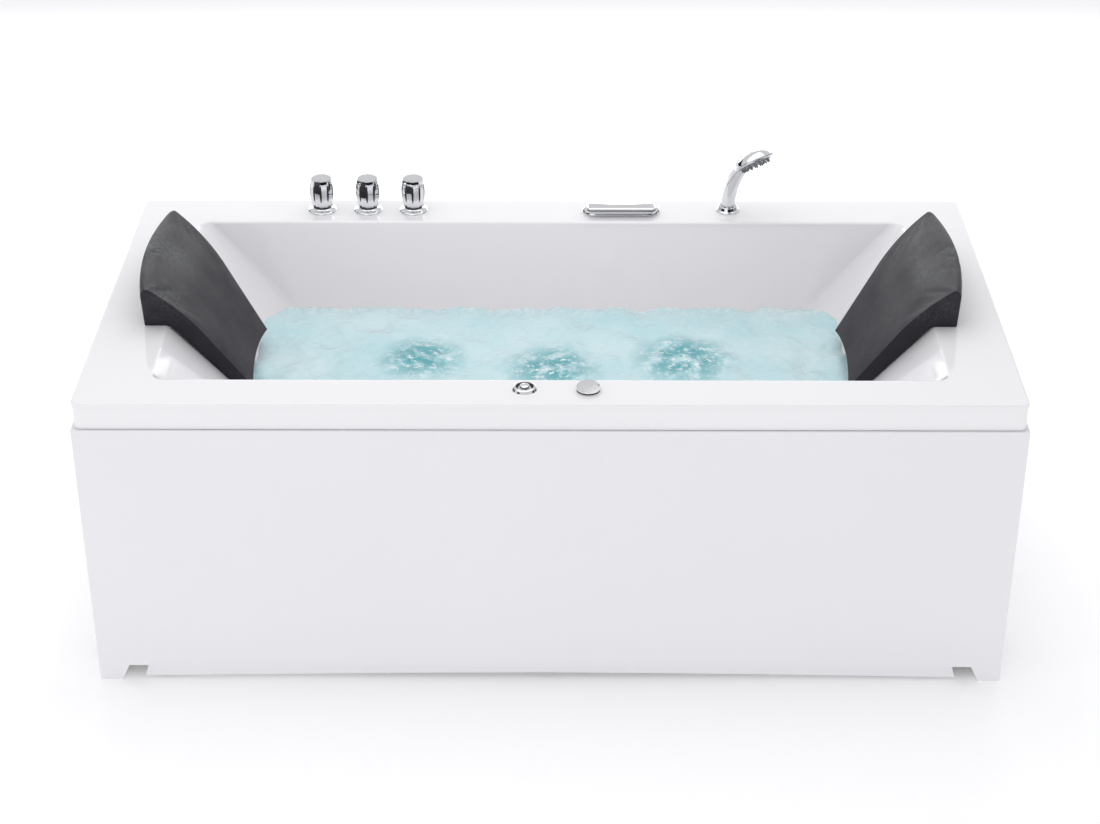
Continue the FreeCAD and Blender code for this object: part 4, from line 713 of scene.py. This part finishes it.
@dataclass
class Headrest:
    """One padded headrest that saddles the end rim and leans down the sloping wall.

    Its side view is a slab between a wall line B(s) and a leaning face F(s), s from the crest to
    the foot; F is an arc that runs out along its own tangent to the foot. Across the tub,
    y = middle + v h(z), because the ends are cut along the slope.
    """

    side: Side
    middle_y: float = 0.023
    half: float = 0.1855
    crest_z: float = 0.7263
    crest_rise: float = 0.006
    out: float = 0.804
    bow: float = 0.018
    low_z: float = 0.464
    low_bow: float = 0.012
    thick: float = 0.033
    wall_gap: float = 0.0018
    nose: float = 0.016
    nose_drop: float = 0.012
    nose_r: float = 0.018
    face_r: float = 0.42
    grid: tuple[int, int, int] = (72, 62, 8)
    levels: int = 9
    swell: float = 0.0050
    pressure: float = 4.0
    frames: int = 20
    peg_x: float = 0.784
    peg_apart: float = 0.090

    @property
    def name(self) -> str:
        """The node that the pad stands for."""
        return f"{self.side.name.lower()}_headrest"

    def wall(self, height: float) -> float:
        """How far out the basin's end wall lies: x = 0.76 - 0.29 s - 0.02 sin(pi s), s = depth share."""
        share = (RIM_Z - height) / 0.45
        return 0.76 - 0.29 * share - 0.02 * math.sin(math.pi * share)

    def section(self, bow: float, steps: int) -> tuple[Array, Array]:
        """The side view at one place across the tub.

        Args:
            bow: 1 in the middle and 0 at the ends.
            steps: Points along each line.

        Returns:
            The leaning face and the wall line, both from crest to foot, shape (steps, 2).
        """
        out, crest = self.out + self.bow * bow, self.crest_z + self.crest_rise * bow
        low, middle = self.low_z + self.low_bow * bow, RIM_Z - 0.09
        foot = (self.wall(low) - self.thick + 0.005, low + 0.010)
        leaning = arc((out - self.nose, crest), (self.wall(middle) - self.thick, RIM_Z - 0.082), self.face_r, 60)
        way, step = foot - leaning, np.gradient(leaning, axis=0)
        touch = int(np.argmin(np.abs(way[:, 0] * step[:, 1] - way[:, 1] * step[:, 0])))
        nose = arc((out, crest - self.nose_drop), (out - self.nose, crest), self.nose_r, 8)
        face = np.vstack([nose, leaning[1:touch + 1], foot])
        back = np.array([
            (out, RIM_Z + 0.0003), (0.762, RIM_Z + 0.0003), (0.76 - 0.007 - self.wall_gap, RIM_Z - 0.0035),
            (self.wall(middle) - self.wall_gap, middle), (self.wall(low) - self.wall_gap, low)])
        return resampled(face, steps), resampled(back, steps)

    def body(self) -> tuple[Array, Array]:
        """The block P(s, v, w) = (1 - w) B(s, v) + w F(s, v) on a regular grid.

        Returns:
            Points of the block and the quads of its skin.
        """
        across, steps, deep = self.grid
        share = np.linspace(-1, 1, across)
        lines = [self.section(bow, steps) for bow in np.linspace(0, 1, self.levels)]
        place = (1 - share**2) * (self.levels - 1)
        low = np.clip(place.astype(int), 0, self.levels - 2)
        mix = (place - low)[:, None, None]
        front, wall = (stack[low] * (1 - mix) + stack[low + 1] * mix
                       for stack in (np.stack([line[side] for line in lines]) for side in (0, 1)))
        w = np.linspace(0, 1, deep)[None, None, :, None]
        flat = wall[:, :, None, :] * (1 - w) + front[:, :, None, :] * w
        reach = self.half - SIDE_SLOPE * (self.crest_z + 0.008 - flat[..., 1])
        y = self.middle_y + share[:, None, None] * reach
        block = np.stack([flat[..., 0] * self.side.value, y, flat[..., 1]], -1)
        number = np.arange(across * steps * deep).reshape(across, steps, deep)
        quads = []
        for sheet, flip in ((number[:, :, -1], True), (number[:, :, 0], False), (number[:, 0, :], True),
                            (number[:, -1, :], False), (number[0], False), (number[-1], True)):
            local = grid_faces(*sheet.shape, flip=flip != (self.side is Side.LEFT))
            quads.append(sheet.reshape(-1)[local])
        return block.reshape(-1, 3), np.vstack(quads)

    def build(self) -> None:
        """Makes the pad, lets its skin swell between pinned edges, and sets it on its body."""
        points, quads = self.body()
        used = np.unique(quads)
        index = np.full(len(points), -1)
        index[used] = np.arange(len(used))
        pad = make_mesh(f"{self.name}_pad", points[used], index[quads])
        self.inflate(pad, self.held()[used])
        bevel = pad.modifiers.new("edge_radius", "BEVEL")
        bevel.width, bevel.segments, bevel.angle_limit = 0.0022, 3, math.radians(40)
        smooth = pad.modifiers.new("skin", "SUBSURF")
        smooth.levels = smooth.render_levels = 1
        wear(pad, Palette.LEATHER.value)
        for piece in (pad, *self.pegs()):
            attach(piece, f"{self.side.name.lower()}_pillow")
        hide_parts(self.name)
        LOG.info("%s padded with %d faces", self.name, len(pad.data.polygons))

    def held(self) -> Array:
        """How firmly each grid point is held: 1 on edges and against the tub, 0 in the open.

        Returns:
            The weights, one to a point of the block.
        """
        across, steps, deep = (np.linspace(low, 1, count) for low, count in zip((-1, 0, 0), self.grid))
        v, s, w = np.meshgrid(across, steps, deep, indexing="ij")
        edge_v = np.clip((np.abs(v) - 0.93) / 0.07, 0, 1)
        edge_s = np.clip((np.abs(s - 0.5) - 0.47) / 0.03, 0, 1)
        ends = np.where(np.abs(v) > 0.999, np.maximum((np.abs(w - 0.5) * 2) ** 4, edge_s), 1.0)
        return np.where(w > 0.999, np.maximum(edge_v, edge_s), ends).reshape(-1)

    def inflate(self, pad: Object, hold: Array) -> None:
        """Runs a short pressure cloth on the pad and keeps at most the allowed swell.

        Args:
            pad: The pad; its mesh takes the result.
            hold: Pin weight of each point.
        """
        start = vectors(pad.data.vertices, "co")
        group = pad.vertex_groups.new(name="pinned")
        for weight in np.unique(np.round(hold, 2)):
            group.add(np.flatnonzero(np.round(hold, 2) == weight).tolist(), float(weight), "REPLACE")
        cloth = pad.modifiers.new("pressure", "CLOTH")
        rules = cloth.settings
        rules.quality, rules.mass = 6, 0.3
        rules.use_pressure, rules.uniform_pressure_force = True, self.pressure
        rules.vertex_group_mass = "pinned"
        rules.effector_weights.gravity = 0.0
        rules.tension_stiffness = rules.compression_stiffness = 12.0
        scene = bpy.context.scene
        scene.frame_start, scene.frame_end = 1, self.frames
        for step in range(1, self.frames + 1):
            scene.frame_set(step)
        shape = pad.evaluated_get(bpy.context.evaluated_depsgraph_get()).to_mesh()
        move = vectors(shape.vertices, "co") - start
        length = np.linalg.norm(move, axis=1, keepdims=True)
        kept = move * np.minimum(1.0, self.swell / np.maximum(length, 1e-9)) * (1 - hold[:, None])
        pad.modifiers.remove(cloth)
        scene.frame_set(1)
        pad.data.vertices.foreach_set("co", (start + kept).astype(np.float32).ravel())
        pad.data.update()
        LOG.info("%s swelled by up to %.1f mm", pad.name, 1000 * float(np.linalg.norm(kept, axis=1).max()))

    def pegs(self) -> list[Object]:
        """Two rubber pegs under the saddle that plug into the deck, r(z) barbed at the tip.

        Returns:
            The pegs.
        """
        angle = np.linspace(0.0, math.tau, 28, endpoint=False)
        circle = np.stack([np.cos(angle), np.sin(angle)], -1)
        rings = [(0, 0, -0.0155), (0.0032, 0, -0.0155), (0.0046, 0, -0.013), (0.0046, 0, -0.0112),
                 (0.0038, 0, -0.0100), (0.0042, 0, 0), (0, 0, 0)]
        made = []
        for number, way in enumerate((-1, 1), start=1):
            base = Vector((self.side.value * self.peg_x, self.middle_y + way * self.peg_apart, RIM_Z + 0.0010))
            peg = slab(f"{self.name}_peg_{number}", (circle, circle), rings, base)
            wear(peg, Palette.RUBBER.value)
            smooth_by_angle(peg)
            made.append(peg)
        return made


@frozen
class PaintedShadeRing:
    """Painted shade in a gap under a knob, in a button's dish or under a cap: r0 < |p - nearest axis| < r1 and z0 < z
    - rim < z1.
    """

    node: str
    axes: tuple[Pair, ...]
    radii: Pair
    heights: Pair

    def paint(self) -> None:
        """Paints shade, near-black, on the faces whose centre lies in the ring."""
        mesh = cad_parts[self.node].data
        centre = vectors(mesh.polygons, "center")
        away = np.min([np.hypot(centre[:, 0] - x, centre[:, 1] - y) for x, y in self.axes], axis=0)
        high = centre[:, 2] - RIM_Z
        inside = (away > self.radii[0]) & (away < self.radii[1])
        paint_faces(mesh, Palette.PAINTED_SHADE_AND_REFLECTION, inside & (high > self.heights[0]) & (high < self.heights[1]))


@dataclass
class Fittings:
    """Chromed fittings on the rim and in the basin."""

    chromed: tuple[str, ...] = (
        "hot_knob", "cold_knob", "diverter_knob", "waste_knob", "tap_escutcheons", "shower_holder",
        "hand_shower", "air_button_ring", "air_button", "regulator_base", "regulator_knob",
        "drain_flange", "drain_plug", "overflow_flange", "jet_rings", "suction_guard")
    taps: tuple[tuple[str, Pair], ...] = (
        ("hot_knob", (-0.5, 0.399)), ("cold_knob", (-0.4, 0.399)), ("diverter_knob", (-0.301, 0.399)))
    button_at: Pair = (-0.048, -0.387)
    regulator_at: Pair = (0.072, -0.394)
    flutes: int = 10
    flute_at: float = 0.0273
    flute_r: float = 0.0031

    def build(self) -> None:
        """Dresses the fittings; the spray face is grey plastic, the flutes get painted dark reflections, and the gaps
        under the knobs, the button's dish and the spout's slot get painted shade.
        """
        dress(Palette.CHROME, *self.chromed, *(f"jet_nozzle_{number}" for number in range(1, 7)))
        dress(Palette.SPRAY, "spray_plate")
        for name, axis in self.taps:
            self.paint_flute_reflections(name, axis)
        # painted shade: under the tap knobs, in the air button's dish and under the regulator's cap
        for ring in (PaintedShadeRing("tap_escutcheons", tuple(axis for _, axis in self.taps), (0.0, 0.0197), (0.004, 1.0)),
                     PaintedShadeRing("air_button_ring", (self.button_at,), (0.0118, 0.0165), (0.0012, 0.0062)),
                     PaintedShadeRing("regulator_base", (self.regulator_at,), (0.0150, 0.0240), (0.0018, 0.0040)),
                     PaintedShadeRing("regulator_knob", (self.regulator_at,), (0.0205, 0.0240), (0.0030, 0.0051))):
            ring.paint()

    def paint_flute_reflections(self, name: str, axis: Pair) -> None:
        """Painted dark reflection where a face lies within a flute: |p - c| < r for the nearest flute centre c.

        Args:
            name: The knob's node name.
            axis: Where its axis stands.
        """
        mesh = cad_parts[name].data
        flat = vectors(mesh.polygons, "center")[:, :2] - axis
        turn = math.tau / self.flutes
        angle = (np.floor(np.arctan2(flat[:, 1], flat[:, 0]) / turn) + 0.5) * turn
        centre = self.flute_at * np.stack([np.cos(angle), np.sin(angle)], -1)
        # painted dark reflection: the flute faces get the near-black finish
        paint_faces(mesh, Palette.PAINTED_SHADE_AND_REFLECTION, np.hypot(*(flat - centre).T) < self.flute_r)


class Underside:
    """What stands and runs under the shell: frame, feet, board, pipes and pump."""

    def build(self) -> None:
        """Dresses every hidden part."""
        for finish, names in (
                (Palette.GALVANISED, ("base_frame", "panel_brackets", "pump_tray")),
                (Palette.ZINC, (*(f"levelling_foot_{number}" for number in range(1, 7)), "foot_lock_nuts")),
                (Palette.PLYWOOD, ("support_board",)),
                (Palette.BRASS, ("deck_lock_nuts", "hot_valve", "cold_valve", "diverter_valve",
                                 "spout_shank", "mixer_pipes")),
                (Palette.STEEL, ("hot_spindle", "cold_spindle", "diverter_spindle", "motor_shaft")),
                (Palette.PIPE, ("water_pipes", "jet_bodies", "suction_body", "waste_pipework")),
                (Palette.AIR_LINE, ("air_pipes",)),
                (Palette.NYLON, ("pump_housing", "impeller")),
                (Palette.MOTOR, ("pump_motor",)),
                (Palette.RUBBER, ("pump_mounts",))):
            dress(finish, *names)


@dataclass
class WaterfallSpout:
    """The low waterfall spout: a slim crowned bar with a slot along its front, over an oval foot."""

    node: str = "waterfall_spout"
    middle_x: float = 0.152
    bar_y: float = 0.375
    bar_half: Pair = (0.075, 0.018)
    bar_low: float = 0.0115
    bar_high: float = 0.0240
    bar_corner: float = 0.009
    slot_share: float = 0.52
    slot_half: float = 0.0010
    slot_deep: float = 0.0040
    neck_behind: float = 0.008
    neck_half: Pair = (0.060, 0.011)
    neck_corner: float = 0.008
    foot_y: float = 0.393
    foot_half: Pair = (0.085, 0.025)
    foot_high: float = 0.009

    @property
    def slot_z(self) -> float:
        """The slot's height over the rim."""
        return self.bar_low + (self.bar_high - self.bar_low) * self.slot_share

    def build(self) -> None:
        """Makes bar, neck and foot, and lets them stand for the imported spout.

        The neck is waisted a little; the foot is an oval whose edge z(t) rolls over to a flat top.
        """
        bar, top = self.bar(), self.foot_high
        waist = rounded_plan(self.neck_half, self.neck_corner, 72)
        neck = self.moulded("neck", self.bar_y + self.neck_behind, waist, [
            (0, 0, 0.004), (1, 0, 0.004), (1, 0.002, 0.008), (1, 0, 0.0125), (0, 0, 0.0125)])
        foot = self.moulded("foot", self.foot_y, rounded_plan(self.foot_half, self.foot_half[1], 120), [
            (0, 0, 0.0002), (1, 0.0012, 0.0002), (1, 0.0001, 0.0012), (1, 0, 0.002), (1, 0.0006, top * 0.62),
            (1, 0.0024, top * 0.86), (1, 0.0055, top * 0.97), (0.75, 0.006, top), (0, 0, top)])
        for piece in (bar, neck, foot):
            wear(piece, Palette.CHROME.value)
            smooth_by_angle(piece)
            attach(piece, "tub")
        self.paint_slot_shade(bar)
        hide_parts(self.node)
        LOG.info("%s made as bar, neck and foot", self.node)

    def moulded(self, what: str, y: float, plan: tuple[Array, Array], rings: Sequence[Triple],
                groove: Array | None = None) -> Object:
        """One slab of the spout, on its middle line and above the rim."""
        return slab(f"{self.node}_{what}", plan, rings, Vector((self.middle_x, y, RIM_Z)), groove)

    def bar(self) -> Object:
        """Rounded bar, z(t) crowned on top, with a slot inset where the outline faces the basin.

        Returns:
            The bar.
        """
        low, high, lip = self.bar_low, self.bar_high, self.slot_half + 0.0001
        plan = rounded_plan(self.bar_half, self.bar_corner, 200)
        rings = [(0, 0, low), (0.9, 0.002, low), (1, 0.0016, low + 0.0003), (1, 0.0004, low + 0.0012),
                 (1, 0, low + 0.0022), (1, 0, self.slot_z - lip), (1, 0, self.slot_z - self.slot_half),
                 (1, 0, self.slot_z + self.slot_half), (1, 0, self.slot_z + lip), (1, 0, high - 0.0042),
                 (1, 0.0008, high - 0.0026), (1, 0.0024, high - 0.0014), (1, 0.0050, high - 0.0007),
                 (0.9, 0.008, high - 0.0002), (0.5, 0.008, high), (0, 0, high)]
        groove = np.zeros((len(rings), len(plan[0])))
        groove[6:8] = self.slot_deep * np.clip((-plan[1][:, 1] - 0.7) / 0.25, 0, 1)
        return self.moulded("bar", self.bar_y, plan, rings, groove)

    def paint_slot_shade(self, bar: Object) -> None:
        """Painted shade on the slot's faces: those whose centre lies behind the bar's front.

        Args:
            bar: The bar.
        """
        centre = vectors(bar.data.polygons, "center")
        behind = centre[:, 1] - (self.bar_y - self.bar_half[1])
        level = np.abs(centre[:, 2] - RIM_Z - self.slot_z) < 0.0012
        # painted shade: the slot's inner faces turn near-black
        paint_faces(bar.data, Palette.PAINTED_SHADE_AND_REFLECTION, level & (behind > 0.001) & (behind < 0.006))


# ---- studio
@dataclass
class Water:
    """The filling: a stirred sheet at the level where the photograph shows it."""

    level: float = 0.448
    half_x: float = 0.6225
    front_y: float = -0.3095
    back_y: float = 0.2985
    corner: float = 0.062
    plumes: tuple[Triple, ...] = (
        (-0.272, 0.066, 0.105), (0.004, 0.020, 0.115), (0.280, 0.060, 0.125))
    ripples: int = 34
    lengths: Pair = (0.02, 0.13)
    steep: float = 0.0065
    mound: float = 0.010
    chop: float = 0.0016

    def build(self) -> None:
        """z = level + sum of ripples + mounds over the plumes + chop along the back wall."""
        u, v = np.linspace(-1, 1, 420), np.linspace(0, 1, 210)
        y = self.front_y + (self.back_y - self.front_y) * v
        inset = np.maximum(0.0, self.corner - np.minimum(y - self.front_y, self.back_y - y))
        limit = self.half_x - self.corner + np.sqrt(self.corner**2 - inset**2)
        x, y = limit[:, None] * u[None, :], np.repeat(y[:, None], len(u), axis=1)
        rng = np.random.default_rng(7)
        z = np.zeros_like(x)
        for _ in range(self.ripples):
            angle, wave = rng.uniform(0, math.tau), rng.uniform(*self.lengths)
            along = x * math.cos(angle) + y * math.sin(angle)
            z += self.steep * wave * np.sin(math.tau * along / wave + rng.uniform(0, math.tau))
        for px, py, reach in self.plumes:
            z += self.mound * np.exp(-((x - px) ** 2 + (y - py) ** 2) / (reach * 0.6) ** 2)
        chop = np.sin(61 * x + 2 * np.sin(23 * x)) + 0.7 * np.sin(173 * x + 3 * np.sin(37 * x))
        z += self.chop * np.clip((y - self.back_y + 0.06) / 0.06, 0, 1) * chop
        points = np.stack([x, y, self.level + z], -1).reshape(-1, 3)
        sheet = make_mesh("filled_water", points, grid_faces(len(v), len(u)))
        wear(sheet, ChurnedWater("churned_water", (0.53, 0.79, 0.83), 0.12, jets=self.plumes, back=self.back_y))
        sheet.visible_glossy = sheet.visible_diffuse = False
        LOG.info("water staged at %.3f m", self.level)


@frozen
class Softbox:
    """A rectangular area light that faces a point."""

    name: str
    at: Triple
    aim: Triple
    size: Pair
    watts: float

    def hang(self) -> None:
        """Adds the light, out of the camera's sight."""
        lamp = bpy.data.lights.new(self.name, "AREA")
        lamp.shape, lamp.size, lamp.size_y, lamp.energy = "RECTANGLE", *self.size, self.watts
        holder = linked(self.name, lamp)
        turn_to(holder, self.at, Vector(self.aim) - Vector(self.at))
        holder.visible_camera = False


def turn_to(holder: Object, at: Triple, look: Vector) -> None:
    """Puts a light or camera at a place, looking one way."""
    holder.location, holder.rotation_mode = at, "QUATERNION"
    holder.rotation_quaternion = look.to_track_quat("-Z", "Y")


@dataclass
class Studio:
    """Pale floor, soft lights and the camera of the photograph."""

    camera_at: Triple = (0.014, -4.066, 2.740)
    pitch: float = math.radians(30.36)
    yaw: float = math.radians(-0.22)
    lens: float = 73.57
    floor_half: float = 30.0
    tent_colour: Triple = (0.978, 0.98, 1.0)
    tent_strength: float = 0.80
    panel_strength: float = 0.72
    gap_colour: Triple = (0.02, 0.02, 0.025)
    gap_waves: float = 5.0
    gap_tops: Pair = (0.05, 0.34)
    lights: tuple[Softbox, ...] = (
        Softbox("overhead_softbox", (-0.3, 0.4, 3.4), (0, 0, 0.5), (4.2, 2.6), 28),
        Softbox("back_softbox", (0, 3.2, 1.3), (0, 0, 0.7), (4.8, 1.0), 36),
        Softbox("front_softbox", (-1.6, -4.4, 1.0), (0, 0, 0.3), (3.6, 1.2), 13))

    def build(self) -> None:
        """Sets floor, world, lights and camera."""
        self.floor()
        self.world()
        for light in self.lights:
            light.hang()
        self.camera()
        bpy.context.scene.view_settings.view_transform = "Standard"

    def floor(self) -> None:
        """A flat sheet z = 0 with a faint mottled sweep."""
        line = np.linspace(-self.floor_half, self.floor_half, 25)
        x, y = np.meshgrid(line, line, indexing="ij")
        points = np.stack([x, y, np.zeros_like(x)], -1).reshape(-1, 3)
        sheet = make_mesh("studio_floor", points, grid_faces(*x.shape, flip=True))
        finish = Finish("pale_floor", (0.985, 0.985, 0.985), 0.8, 0.05, tint=0.006, patch=0.6, grain=40,
                        strength=0.02)
        graph = finish.build()
        graph.surface(Emission_Color=(1, 1, 1), Emission_Strength=0.10)
        sheet.data.materials.append(graph.material)

    def world(self) -> None:
        """A white tent; polished metal also sees the dark gaps between its panels.

        A gap shows below sin(elevation) = spread(sin(waves azimuth)) over gap_tops.
        """
        world = bpy.data.worlds.new("white_tent")
        bpy.context.scene.world = world
        world.use_nodes = True
        graph = NodeGraph(world.node_tree)
        way = graph.split(graph.node("ShaderNodeTexCoord").outputs["Generated"])
        azimuth = graph.maths("ARCTAN2", way[0], way[1])
        wave = graph.maths("SINE", graph.maths("MULTIPLY", azimuth, self.gap_waves))
        above = graph.maths("SUBTRACT", way[2], graph.spread(wave, *self.gap_tops, -1, 1))
        seen = graph.blend(graph.spread(above, 0, 1, 0.0, 0.06), self.gap_colour, (1, 1, 1))
        tent = graph.node("ShaderNodeBackground", {0: (*self.tent_colour, 1.0), 1: self.tent_strength})
        panels = graph.node("ShaderNodeBackground", {0: seen, 1: self.panel_strength})
        glossy = graph.node("ShaderNodeLightPath").outputs["Is Glossy Ray"]
        mix = graph.node("ShaderNodeMixShader", {0: glossy, 1: tent.outputs[0], 2: panels.outputs[0]})
        graph.node("ShaderNodeOutputWorld", {"Surface": mix.outputs[0]})

    def camera(self) -> None:
        """The camera fitted to the photograph's corners."""
        data = bpy.data.cameras.new("photo_camera")
        data.lens, data.sensor_width, data.clip_end = self.lens, 36.0, 200.0
        holder = linked("photo_camera", data)
        level = math.cos(self.pitch)
        look = Vector((math.sin(self.yaw) * level, math.cos(self.yaw) * level, -math.sin(self.pitch)))
        turn_to(holder, self.camera_at, look)
        bpy.context.scene.camera = holder


def main() -> None:
    """Builds the studio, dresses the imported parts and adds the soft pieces."""
    logging.basicConfig(level=logging.INFO, format="%(message)s")
    Studio().build()
    Enclosure().build()
    Fittings().build()
    WaterfallSpout().build()
    Underside().build()
    for side in Side:
        Headrest(side).build()
    Water().build()
    bpy.context.view_layer.update()


if __name__ == "__main__":
    main()
